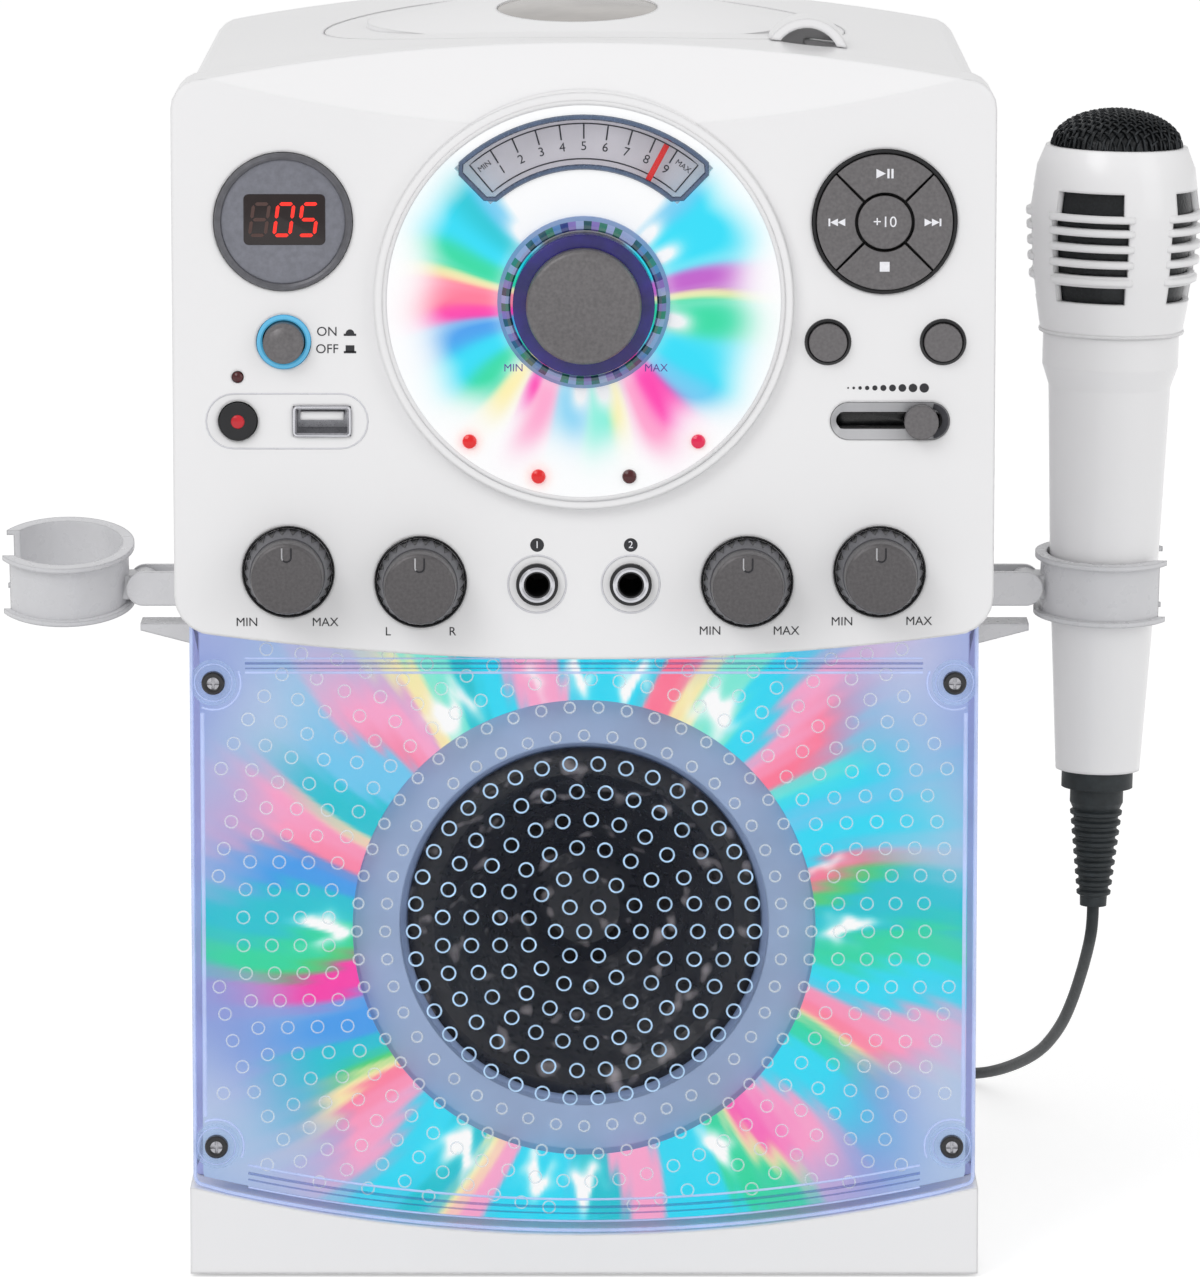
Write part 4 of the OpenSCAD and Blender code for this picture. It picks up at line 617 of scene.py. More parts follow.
def heat(spots, angle):
    return max(power * math.exp(-(apart(angle, at) / half) ** 2) for at, half, power in spots)


def bell(x, mid, width):
    return math.exp(-((x - mid) / width) ** 2)


def wave(angle, beats, turn=0.0):
    return math.sin(math.radians(beats * angle + turn))


def polar_plate(x, y, z, radii, back, paint, angles=360, gone=lambda i, j: False):
    """A thin painted plate in rings about an axis along Y. radii(angle) gives the rings' radii, back is how
    thick the plate is, paint(r, angle) its linear (tint, glow), and gone(angle index, ring index) leaves a
    gap."""
    bm = bmesh.new()
    tint_layer = bm.verts.layers.float_color.new("tint")
    glow_layer = bm.verts.layers.float_color.new("glow")
    front, rear = [], []
    for i in range(angles):
        angle = 360 * i / angles
        c, s = math.cos(math.radians(angle)), math.sin(math.radians(angle))
        for grid, depth in ((front, 0), (rear, back)):
            grid.append([bm.verts.new((x + r * c, y + depth, z + r * s)) for r in radii(angle)])
            for v, r in zip(grid[-1], radii(angle)):
                v[tint_layer], v[glow_layer] = paint(r, angle)
    return gapped_shell(bm, front, rear, gone)


# --- clear front
PANEL_HALF = high("clear_panel").x
PANEL_TOP = high("clear_panel").z
PANEL_LOW = low("clear_panel").z
PANEL_SAG = 13.2  # how far the arched bottom rises to the corners
SCREW_X = 102.6
SCREW_Z = (PANEL_TOP - 18.2, PANEL_LOW + PANEL_SAG + 11.6)
SCREW_FREE = 150  # square of the distance that the bumps keep from a screw
SOUND_STEP = 7.9
SOUND_RINGS = 6
BUMP_RINGS = 19
FIELD_INSET = 2.7
FIELD_RINGS = 58
FIELD_Y = low("light_boards").y - 0.5  # a thin diffuser on the lamps
HOT_R = 71.5
LAVENDER, DEEP_LAVENDER, PALE_BLUE = (0.73, 0.76, 0.90), (0.55, 0.62, 0.86), (0.66, 0.80, 0.90)


def panel_low(x):
    """Height of the panel's arched bottom edge."""
    return PANEL_LOW + PANEL_SAG * (x / PANEL_HALF) ** 2


def panel_reach(angle):
    """Distance from the speaker's centre to the lit field's outline at an angle."""
    c, s = math.cos(math.radians(angle)), math.sin(math.radians(angle))
    reach = (PANEL_HALF - FIELD_INSET) / max(abs(c), 1e-9)
    if s > 1e-9:
        reach = min(reach, (PANEL_TOP - FIELD_INSET - SPEAKER.z) / s)
    if s < -1e-9:
        r = 80
        for _ in range(30):
            r = 0.5 * (r + (SPEAKER.z - FIELD_INSET - panel_low(min(abs(r * c), PANEL_HALF))) / -s)
        reach = min(reach, r)
    return reach


def takes_bump(x, z, inset=7):
    return (abs(x) < PANEL_HALF - inset and panel_low(x) + inset < z < PANEL_TOP - inset
            and all((abs(x) - SCREW_X) ** 2 + (z - screw_z) ** 2 > SCREW_FREE for screw_z in SCREW_Z))


def paint_field(r, angle):
    bend = 2.0 * math.sin(r / 9 + angle / 7) + 0.7 * math.sin(r / 3.3 + 2 * angle)
    colour, strength = petal_light(SPEAKER_PETALS, r + 3 * wave(angle, 23), angle + bend, 7.0)
    strength *= 0.97 + 0.06 * wave(angle, 47, 6 * math.sin(r / 13))
    strength *= 1 - 0.22 * clamp((r - 80) / 25)
    flame = HOT_R + 2.2 * wave(angle, 43, 30) + 1.6 * wave(angle, 71)
    hot = 1.5 * heat(SPEAKER_HOT, angle + 0.4 * math.sin(r)) * bell(r, flame, 4.5 + 1.5 * wave(angle, 59))
    cloud = 0.5 + 0.3 * math.sin(r / 8 + 2.2 * wave(angle, 3, 70)) + 0.25 * wave(angle, 11, 3 * r)
    tilt = 0.5 + 0.5 * math.sin(r / 14 + math.radians(3 * angle))
    base = blend_colour(blend_colour(DEEP_LAVENDER, LAVENDER, clamp(cloud)), PALE_BLUE, 0.45 * tilt)
    glow = blend_colour(base, colour, min(1, 1.15 * strength))
    glow = blend_colour(glow, (1, 1, 1), clamp(hot))
    return linear(tuple(0.16 * g for g in glow)), linear(tuple(0.96 * g for g in glow))


def field_radii(angle):
    inner, outer = RING_R - 1.5, panel_reach(angle)
    return [inner + (outer - inner) * j / FIELD_RINGS for j in range(FIELD_RINGS + 1)]


lit_field = polar_plate(0, FIELD_Y, SPEAKER.z, field_radii, 0.45, paint_field, angles=600)
piece("lit_field", lit_field, "light_field", smooth=60)

# rims of the sound holes, with painted edge light, and the low round bumps that go on in the same rings,
# drawn as pale rings of painted highlight
hole_rims, ring_bumps, outer_bumps = bmesh.new(), bmesh.new(), bmesh.new()
ring(hole_rims, 0, SPEAKER.z, PANEL_Y, 1.95, 0.28, 14, 6)
for k in range(1, BUMP_RINGS):
    count = round(TAU * k)
    for i in range(count):
        x = k * SOUND_STEP * math.cos(TAU * i / count)
        z = SPEAKER.z + k * SOUND_STEP * math.sin(TAU * i / count)
        if k <= SOUND_RINGS:
            ring(hole_rims, x, z, PANEL_Y, 1.95, 0.28, 14, 6)
        elif k * SOUND_STEP < RING_R:
            ring(ring_bumps, x, z, PANEL_Y, 1.5, 0.3, 14, 6)
        elif takes_bump(x, z):
            ring(outer_bumps, x, z, PANEL_Y, 1.75, 0.24, 14, 6)
piece("sound_hole_rims", hole_rims, "hole_rim", smooth=60)
piece("ring_bumps", ring_bumps, "bump_highlight_rim", smooth=60)
piece("panel_bumps", outer_bumps, "bump_highlight_rim", smooth=60)


def bottom_line(half, lift, n):
    """Points (x, z) from -half to half along the panel's arched bottom, lifted."""
    return [(x, panel_low(x) + lift) for x in (half * (2 * i / n - 1) for i in range(n + 1))]


def panel_line(inset, r):
    """The panel's outline inset, as (x, z) points round the front."""
    half, top = PANEL_HALF - inset, PANEL_TOP - inset
    bottom = bottom_line(half, inset, 24)
    return (bottom[1:-1] + arc(half - r, bottom[-1][1] + r, r, -80, 0, 5)
            + arc(half - r, top - r, r, 0, 90, 6) + arc(r - half, top - r, r, 90, 180, 6)
            + arc(r - half, bottom[0][1] + r, r, 180, 260, 5))


LINE_X, LINE_END = PANEL_HALF - 3.6, PANEL_HALF - 15.5
BOSS = [(3.2, -0.12), (5.0, -0.12), (6.5, 0.05), (6.5, 0.4), (3.2, 0.4)]
SCREW_RING = [(1.7, -1.7), (2.1, -1.95), (2.8, -1.9), (3.2, -1.5), (3.3, 0), (3.05, 0), (3.05, -1.65),
              (1.7, -1.65)]
edge_lines, shades, bosses, screw_rings = bmesh.new(), bmesh.new(), bmesh.new(), bmesh.new()
line_on_front(edge_lines, panel_line(0.7, 2.5), PANEL_Y + 0.2, 1.1, closed=True)
for bm, low_lines, top_lines in ((edge_lines, ((3.4, 0.6), (9.6, 0.7)), ((11.4, 0.5), (15.4, 0.7))),
                                 (shades, ((5.6, 0.5), (7.4, 0.8)), ((12.8, 0.7), (14.2, 0.4)))):
    for lift, width in low_lines:
        line_on_front(bm, bottom_line(LINE_END, lift, 32), PANEL_Y, width)
    for drop, width in top_lines:
        line_on_front(bm, [(x, PANEL_TOP - drop) for x in (-LINE_END, LINE_END)], PANEL_Y, width)
for side in (-1, 1):
    line_on_front(edge_lines, [(side * LINE_X, SCREW_Z[1] + 8.5), (side * LINE_X, SCREW_Z[0] - 8.5)],
                  PANEL_Y, 1.1)
    for z, up in zip(SCREW_Z, (1, -1)):
        x, start, way = side * SCREW_X, 90 + 90 * side, side * up
        ring(edge_lines, x, z, PANEL_Y, 5.2, 0.22, 36, 6)
        line_on_front(edge_lines, arc(x, z, 7.6, start - 25 * way, start + 115 * way, 18), PANEL_Y, 0.7)
        knob(bosses, x, z, PANEL_Y, BOSS, 36, close=True)
        knob(screw_rings, x, z, PANEL_Y, SCREW_RING, 36, close=True)
piece("panel_edges", edge_lines, "edge_glow", smooth=60)
piece("panel_shades", shades, "edge_shade", smooth=60)
piece("panel_bosses", bosses, "boss_clear", smooth=40)
piece("screw_rings", screw_rings, "black_gloss", smooth=40)

# --- dial
GAUGE_HALF = 44
GAUGE_IN, GAUGE_OUT = 36.8, 51.0
CRYSTAL_R = radius("crystal_ring")
# lamps: place from the dial's centre, finish, and how strong the halo round it is
LAMPS = [(-31.4, -38.6, "red_glow", 0.7), (-12.5, -48.3, "red_glow", 0.7), (12.5, -48.3, "dark_red", 0.0),
         (31.4, -38.6, "crimson_glow", 0.15)]
DIAL_RINGS = [6, 14, 20, 21, 22, 23, 24, 25, 26, 27, 28, 29.2, 30.4, 31.6, 32.8, 34, 35.4, GAUGE_IN, 38,
              39.2, 40.4, 41.6, 42.8, 44, 45.2, 46.4, 48, 49.6, GAUGE_OUT, 52.4, 53.6, DIAL_R]
PAD_WHITE = (0.95, 0.952, 0.955)
LIT_SHARE = 0.86  # how much of its colour the pad shows without its own light


def paint_dial(r, angle):
    bend = 1.6 * math.sin(r / 7 + angle / 20)
    colour, strength = petal_light(DIAL_PETALS, r + 1.2 * wave(angle, 13), angle + bend, 2.6, 1.25)
    hot = 1.2 * heat(DIAL_HOT, angle) * bell(r, 26, 4.2) + 0.5 * bell(r, 22, 3)
    top = max(0, 1 - abs(angle - 90) / 46) * bell(r, 32, 9)
    strength = max(0, 0.97 * strength * (1 - min(1, hot)) - top)
    target = blend_colour(PAD_WHITE, colour, strength)
    x, z = r * math.cos(math.radians(angle)), r * math.sin(math.radians(angle))
    for lamp_x, lamp_z, _, halo in LAMPS:
        near = math.exp(-((x - lamp_x) ** 2 + (z - lamp_z) ** 2) / 7)
        target = blend_colour(target, (1.0, 0.66, 0.58), halo * near)
    tint = tuple(c * (1 - strength) ** 1.5 for c in linear(PAD_WHITE)[:3])
    return tint + (1,), tuple(max(0, t - LIT_SHARE * c) for t, c in zip(linear(target), tint)) + (1,)


def in_gauge(i, j):
    return 90 - GAUGE_HALF <= i < 90 + GAUGE_HALF and GAUGE_IN <= DIAL_RINGS[j] < GAUGE_OUT


dial_pad = polar_plate(0, PAD_Y, DIAL.z, lambda angle: DIAL_RINGS, 3.2, paint_dial, gone=in_gauge)
piece("dial_pad", dial_pad, "light_field", slot="dial_white", stands_for="dial_lens", smooth=40)


def on_dial(r, degrees):
    """A point (x, z) at a radius and an angle clockwise from the top of the dial."""
    a = math.radians(degrees)
    return r * math.sin(a), DIAL.z + r * math.cos(a)


def dial_arc(r, half, n):
    """Points on the dial from -half to half degrees."""
    return [on_dial(r, half * (2 * i / n - 1)) for i in range(n + 1)]


def window_line(inset, corner):
    """The gauge window's outline with rounded corners."""
    outer, inner = GAUGE_OUT - inset, GAUGE_IN + inset
    half_out, half_in = (GAUGE_HALF - math.degrees((inset + corner) / r) for r in (outer, inner))
    edge_out, edge_in = (GAUGE_HALF - math.degrees(inset / r) for r in (outer, inner))
    return (dial_arc(outer, half_out, 28)
            + [on_dial(outer - corner, edge_out), on_dial(inner + corner, edge_in)]
            + dial_arc(inner, -half_in, 24)
            + [on_dial(inner + corner, -edge_in), on_dial(outer - corner, -edge_out)])


gauge_rim = line_on_front(bmesh.new(), window_line(0.3, 2.0), PAD_Y - 0.1, 1.5, closed=True)
piece("gauge_rim", gauge_rim, "steel_blue", smooth=60)
bead = ring(bmesh.new(), 0, DIAL.z, PAD_Y + 0.15, DIAL_R + 0.1, 0.75, 160, 8, 0.5)
piece("dial_bead", bead, "white_shell", smooth=60)

PRINT_Y = low("gauge_plate").y - 0.05
SCALE_OUT, SCALE_IN, SCALE_HALF = 48.4, 38.7, 40.3
NUMBER_STEP = 8.0
gauge_print = line_on_front(bmesh.new(), dial_arc(SCALE_OUT, SCALE_HALF, 30)
                            + dial_arc(SCALE_IN, -SCALE_HALF, 30), PRINT_Y, 0.38, closed=True)
for number in range(1, 10):
    turn = (number - 5) * NUMBER_STEP
    line_on_front(gauge_print, [on_dial(SCALE_OUT, turn), on_dial(SCALE_OUT - 4.2, turn)], PRINT_Y, 0.42)
    words(gauge_print, str(number), *on_dial(42.1, turn), PRINT_Y, 3.5, turn)
for text, turn in (("MIN", -36.6), ("MAX", 36.6)):
    words(gauge_print, text, *on_dial(45.6, turn), PRINT_Y, 2.2, turn)
piece("gauge_print", gauge_print, "ink")

FACETS = 64
# colours and glow of the crystal ring's facets are painted reflections of the lit dial, one colour a facet
CRYSTAL_REFLECTION_TINTS = [(0.16, 0.42, 0.36), (0.30, 0.46, 0.66), (0.40, 0.34, 0.62), (0.16, 0.22, 0.46),
                 (0.52, 0.58, 0.74), (0.66, 0.28, 0.38), (0.34, 0.52, 0.66), (0.12, 0.28, 0.32),
                 (0.46, 0.40, 0.66), (0.20, 0.50, 0.40), (0.24, 0.26, 0.56)]
CRYSTAL_RIM_R, CRYSTAL_RIM_TINT = 22.9, (0.42, 0.52, 0.68)
crystal = knob(bmesh.new(), 0, DIAL.z, PAD_Y, [
    (20.1, 0.1), (20.1, -3.6), (20.6, -4.6), (21.4, -4.6), (22.6, -2.9), (CRYSTAL_R, -1.4),
    (CRYSTAL_R, 0.1)], FACETS)
tints = crystal.loops.layers.float_color.new("tint")
glows = crystal.loops.layers.float_color.new("glow")
for face in crystal.faces:
    c = face.calc_center_median()
    step = math.floor(FACETS * (math.atan2(c.z - DIAL.z, c.x) / TAU + 0.5))
    tint = CRYSTAL_REFLECTION_TINTS[(step * 7 + step // 3 + (step * step) % 5) % len(CRYSTAL_REFLECTION_TINTS)]
    if math.hypot(c.x, c.z - DIAL.z) > CRYSTAL_RIM_R:
        tint = CRYSTAL_RIM_TINT
    for loop in face.loops:
        loop[tints], loop[glows] = linear(tint), linear(tuple(0.45 * t for t in tint))
piece("crystal_facets", crystal, "crystal_facets", stands_for="crystal_ring", smooth=12)

CAP_R = radius("volume_cap") - 0.7
CAP_Y, CAP_BACK = low("volume_cap").y, high("volume_cap").y - low("volume_cap").y
cap = knob(bmesh.new(), 0, DIAL.z, CAP_Y, [
    (0, 0.15), (CAP_R - 2.2, 0.15), (CAP_R - 1.6, 0), (CAP_R - 0.9, 0.1), (CAP_R - 0.25, 0.7),
    (CAP_R, 1.6), (CAP_R, CAP_BACK), (0, CAP_BACK)], 96)
piece("volume_cap_face", cap, "silver_plastic", "volume_knob", stands_for="volume_cap")

# --- lamps and lenses
lenses = {}
for x, z, finish, _ in LAMPS:
    knob(lenses.setdefault(finish, bmesh.new()), x, DIAL.z + z, PAD_Y, [
        (0, -1.3), (1.1, -1.15), (1.8, -0.7), (2, 0), (2, 17), (0, 17)], 24)
for finish, lens in lenses.items():
    piece("led_" + finish, lens, finish, stands_for="indicator_lenses" if finish == "red_glow" else None)
RECORD_LAMP_Z = 253.8
record_lamp = knob(bmesh.new(), RECORD.x, RECORD_LAMP_Z, FRONT_Y, [
    (0, -0.8), (0.9, -0.65), (1.5, -0.1), (1.5, 14), (0, 14)], 24)
piece("record_lamp", record_lamp, "dark_red")
POWER_R = radius("power_button")
halo = knob(bmesh.new(), POWER.x, POWER.z, FRONT_Y, [
    (POWER_R + 0.4, 3.5), (POWER_R + 0.4, -0.1), (POWER_R + 0.8, -0.5), (POWER_R + 1.4, -0.4),
    (POWER_R + 1.8, 0), (POWER_R + 1.8, 3.5)], 48, close=True)
piece("power_halo", halo, "cyan_glow")
dome = knob(bmesh.new(), POWER.x, POWER.z, low("power_button").y, [
    (0, -0.9), (2.0, -0.8), (3.6, -0.45), (4.6, 0.1), (4.6, 0.5), (0, 0.5)], 40)
piece("power_dome", dome, "silver_plastic", "power_button")

# --- display
rim = knob(bmesh.new(), DISPLAY.x, DISPLAY.z, FRONT_Y, [
    (17.0, -0.3), (17.2, -0.9), (17.9, -1.3), (18.6, -1.1), (19.0, -0.5), (19.0, 3), (0, 3), (0, 2.4),
    (17.0, 2.4)], 96, close=True)
piece("display_rim", rim, "dark_satin", stands_for="display_bezel")
face = knob(bmesh.new(), DISPLAY.x, DISPLAY.z, FRONT_Y, [
    (0, -0.35), (16.6, -0.35), (17.1, -0.2), (17.1, 2.5), (0, 2.5)], 96)
piece("display_face", face, "satin_face")
GLASS_Z = DISPLAY.z + 0.6
glass = rounded_box(DISPLAY.x + 0.4, GLASS_Z, 22.4, 14.0, 1.4)
piece("display_glass", prism(bmesh.new(), glass, FRONT_Y - 0.55, FRONT_Y, 0.15), "display_dark")

DIGIT_Y = FRONT_Y - 0.66
DIGIT_W, DIGIT_H, DIGIT_STEP, BAR, SLANT = 4.3, 8.6, 6.7, 0.95, 0.14
SEGMENTS = {"8": "abcdefg", "0": "abcdef", "5": "acdfg"}


def digit(bm, char, column):
    """Bars of a slanted seven-segment digit, in one of the display's columns, -1 to 1."""
    w, h, x = DIGIT_W / 2, DIGIT_H / 2, DISPLAY.x + 0.3 + DIGIT_STEP * column
    ends = {"a": ((-w, h), (w, h)), "g": ((-w, 0), (w, 0)), "d": ((-w, -h), (w, -h)),
            "f": ((-w, 0), (-w, h)), "b": ((w, 0), (w, h)), "e": ((-w, -h), (-w, 0)),
            "c": ((w, -h), (w, 0))}
    for name in SEGMENTS[char]:
        a, b = Vector(ends[name][0]), Vector(ends[name][1])
        along = (b - a).normalized()
        a, b = a + along * 0.3, b - along * 0.3
        across = Vector((-along.y, along.x)) * BAR / 2
        tip = along * BAR / 2
        points = [a, a + tip + across, b - tip + across, b, b - tip - across, a + tip - across]
        prism(bm, [(x + p.x + SLANT * p.y, GLASS_Z + p.y) for p in points], DIGIT_Y, DIGIT_Y + 0.12)
    return bm


piece("lit_digits", digit(digit(bmesh.new(), "0", 0), "5", 1), "digit_glow")
piece("unlit_digit", digit(bmesh.new(), "8", -1), "unlit_digit")


# --- buttons
def symbol(node, x, z, *shapes):
    """A raised print on a button, riding on it. Each shape comes with its shift along X."""
    bm, y = bmesh.new(), low(node).y
    for shape, dx in shapes:
        prism(bm, shifted(shape, x + dx, z), y - 0.06, y + 0.02)
    piece(node.split("_")[0] + "_symbol", bm, "ink_pale", node)


TX, TZ, KEY_AT = TRANSPORT.x, TRANSPORT.z, 13.4
symbol("play_button", TX, TZ + KEY_AT, (triangle(2.6), -1.1), (bar(0.6, 2.6), 0.9), (bar(0.6, 2.6), 2.0))
symbol("stop_button", TX, TZ - KEY_AT + 1.2, (bar(2.7, 2.7), 0))
for to, node in ((-1, "previous_button"), (1, "next_button")):
    symbol(node, TX + to * KEY_AT, TZ, (triangle(2.1, to), -1.5 * to), (triangle(2.1, to), 0.5 * to),
           (bar(0.5, 2.1), 1.8 * to))
skip_print = words(bmesh.new(), "+10", TX, TZ, low("skip_button").y - 0.04, 4.2)
piece("skip_print", skip_print, "ink_pale", "skip_button")
record_dot = knob(bmesh.new(), RECORD.x, RECORD.z, low("record_button").y, [
    (0, -0.35), (1.4, -0.25), (2.0, 0.05), (0, 0.05)], 28)
piece("record_dot", record_dot, "red_lens", "record_button")

# black rings round the source and repeat buttons: painted shade of the gaps round them
button_gap_shades = bmesh.new()
for node in ("source_button", "repeat_button"):
    at, r = middle(node), radius(node)
    knob(button_gap_shades, at.x, at.z, FRONT_Y, [(r + 0.1, 1), (r + 0.1, -0.35), (r + 0.5, -0.55),
                                            (r + 1.1, -0.4), (r + 1.3, 0.1), (r + 1.3, 1)], 48, close=True)
piece("button_gap_shades", button_gap_shades, "black_gloss")

# --- light slider
TRACK_W, TRACK_H, SLOT_H = 33, 10.6, 3.5
WELL_FLOOR = FRONT_Y + 1.6
POT_FACE = FRONT_Y + 7.0  # front of the slide pot, just behind the slider's stem

outer = stadium(SLIDER.x, SLIDER.z, TRACK_W - 0.3, TRACK_H - 0.3, 14)
inner = stadium(SLIDER.x, SLIDER.z, TRACK_W - 3.4, SLOT_H + 1.2, 14)
well = sleeve(bmesh.new(), ((outer, FRONT_Y + 0.1), (inner, WELL_FLOOR), (inner, WELL_FLOOR + 0.8),
                            (outer, WELL_FLOOR + 0.8)))
piece("slider_well", well, "pale_satin", slot="white_shell", stands_for="slider_track")
lip = rounded_box(SLIDER.x - 0.6, SLIDER.z, TRACK_W - 3.2, SLOT_H + 1.0, 0.5)
hole = rounded_box(SLIDER.x - 0.6, SLIDER.z, TRACK_W - 4.4, SLOT_H, 0.2)
liner = sleeve(bmesh.new(), ((lip, WELL_FLOOR - 0.1), (hole, WELL_FLOOR), (hole, WELL_FLOOR + 3),
                             (lip, WELL_FLOOR + 3)))
piece("slider_slot", liner, "cone_black", slot="black_plastic")
pot = rounded_box(SLIDER.x, SLIDER.z, 29.4, 7.6, 1.2)
piece("slide_pot_cover", prism(bmesh.new(), pot, POT_FACE - 0.25, POT_FACE + 0.1, 0.1), "black_gloss")
# a dark crescent on the well's floor at its right end: painted shade
right = SLIDER.x + (TRACK_W - TRACK_H) / 2
wide, narrow = (arc(right, SLIDER.z, r, -80, 80, 14) for r in (4.9, 3.2))
end = sleeve(bmesh.new(), ((wide, FRONT_Y + 0.02), (narrow, WELL_FLOOR - 0.45), (narrow, WELL_FLOOR),
                           (wide, FRONT_Y + 0.5)), around=False)
piece("slider_end_shade", end, "dark_satin")

# --- small knobs
FLUTES = 24
SKIRT_R, SKIRT_TOP_R, KNOB_CAP_R = 11.9, 10.4, 9.9
SKIRT_BACK = FRONT_Y + 0.7
SKIRT_RIM, SKIRT_FRONT = SKIRT_BACK - 1.6, SKIRT_BACK - 7.5
SKIRT = [(0, SKIRT_BACK), (SKIRT_R, SKIRT_BACK), (SKIRT_R, SKIRT_RIM), (SKIRT_TOP_R, SKIRT_FRONT),
         (0, SKIRT_FRONT)]
# corners of a notch: radius, y and turn. The notch shapes are black wedges laid on the skirt: painted shade
# in its flutes.
NOTCH = [(SKIRT_R, SKIRT_RIM + 0.5, -0.095), (SKIRT_R, SKIRT_RIM + 0.5, 0.095), (SKIRT_R, SKIRT_RIM, 0.095),
         ((SKIRT_R + SKIRT_TOP_R) / 2 - 0.2, (SKIRT_RIM + SKIRT_FRONT) / 2 - 0.8, 0),
         (SKIRT_R, SKIRT_RIM, -0.095)]
# a black ring round each knob is painted shade of the well that it sits in
knob_gap_shades = bmesh.new()
for node in ("voice_knob", "balance_knob", "echo_knob", "mic_level_knob"):
    x, z, front = middle(node).x, middle(node).z, low(node).y
    flute_shades = bmesh.new()
    for i in range(FLUTES):
        a0 = TAU * (i + 0.5) / FLUTES
        join_rows(flute_shades, [[flute_shades.verts.new((x + (r + lift) * math.cos(a0 + da), y - 0.3 * lift,
                                                z + (r + lift) * math.sin(a0 + da)))
                             for r, y, da in NOTCH] for lift in (0.12, -0.5)], caps=True)
    cap = [(0, front + 0.1), (KNOB_CAP_R - 1.6, front + 0.1), (KNOB_CAP_R - 0.9, front),
           (KNOB_CAP_R - 0.25, front + 0.35), (KNOB_CAP_R, front + 1.2),
           (KNOB_CAP_R + 0.2, SKIRT_FRONT - 0.4), (SKIRT_TOP_R - 0.4, SKIRT_FRONT + 0.2),
           (0, SKIRT_FRONT + 0.2)]
    shaft = [(0, SKIRT_BACK), (3, SKIRT_BACK), (3, high(node).y), (0, high(node).y)]
    # the pointer's U is drawn in two halves: the left one pale as painted highlight, the right one dark as
    # painted shade
    pointer_highlight = [(x - 1.25, z + 8.6)] + arc(x, z + 6.0, 1.25, 180, 215, 3)
    pointer_shade = arc(x, z + 6.0, 1.25, 218, 360, 8) + [(x + 1.25, z + 8.6)]
    name = node.replace("_knob", "")
    piece(name + "_skirt", knob(bmesh.new(), x, z, 0, SKIRT, 96), "dark_satin", node, stands_for=node)
    piece(name + "_flute_shades", flute_shades, "black_gloss", node, smooth=20)
    piece(name + "_cap", knob(bmesh.new(), x, z, 0, cap, 72), "knob_grey", node)
    piece(name + "_mark", line_on_front(bmesh.new(), pointer_highlight, front + 0.05, 0.5), "pale_satin", node, smooth=60)
    piece(name + "_pointer_shade", line_on_front(bmesh.new(), pointer_shade, front + 0.05, 0.46), "ink", node,
          slot="silver_plastic", smooth=60)
    piece(name + "_shaft", knob(bmesh.new(), x, z, 0, shaft, 24), "steel", node)
    knob(knob_gap_shades, x, z, FRONT_Y, [(12.15, 1.2), (12.15, 0.2), (12.5, -0.05), (12.85, 0.1), (12.85, 1.2)],
         80, close=True)
piece("knob_well_shades", knob_gap_shades, "black_gloss")

# --- sockets
JACK_X = high("jack_sockets").x - 6.5
JACK_Z = middle("jack_sockets").z
nuts, shell_lines = bmesh.new(), bmesh.new()
for x in (-JACK_X, JACK_X):
    knob(nuts, x, JACK_Z, FRONT_Y, [(3.35, -0.9), (3.7, -2.0), (4.3, -2.2), (4.9, -2.0), (5.1, -1.2),
                                    (5.1, -1.0)], 40, close=True)
    ring(shell_lines, x, JACK_Z, FRONT_Y, 8.0, 0.28, 56, 6)
piece("jack_nuts", nuts, "plug_chrome")

usb_line = rounded_box(USB.x, USB.z, 15.3, 7.8, 0.9)
piece("usb_rim", line_on_front(bmesh.new(), usb_line, low("usb_port").y - 0.05, 0.9, closed=True),
      "plug_chrome", slot="steel", smooth=60)
tongue = rounded_box(USB.x, USB.z + 1.4, 12.0, 2.3, 0.3)
piece("usb_tongue", prism(bmesh.new(), tongue, FRONT_Y + 0.6, FRONT_Y + 10, 0.2), "white_shell")

# --- prints and fine lines of the shell
INK_Y = FRONT_Y - 0.03
SWITCH_X, VOLTS_X, BADGE_Z, FRAME_X = -64.2, 72.6, 207.2, -81.6


def stamp(bm, outline):
    prism(bm, outline, INK_Y - 0.04, INK_Y + 0.05)


shell_print, badges, numbers, dial_print = bmesh.new(), bmesh.new(), bmesh.new(), bmesh.new()
for text, x, z, height in (
        ("ON", -70.5, 266.3, 3.6), ("OFF", -70.5, 261.5, 3.6), ("MIN", -93.0, 185.6, 3.4),
        ("MAX", -71.4, 185.6, 3.4), ("L", -54.1, 183.0, 3.4), ("R", -36.3, 183.0, 3.4),
        ("MIN", 34.8, 183.2, 3.4), ("MAX", 55.8, 183.2, 3.4), ("MIN", 71.2, 185.8, 3.4),
        ("MAX", 92.4, 185.9, 3.4)):
    words(shell_print, text, x, z, INK_Y, height)
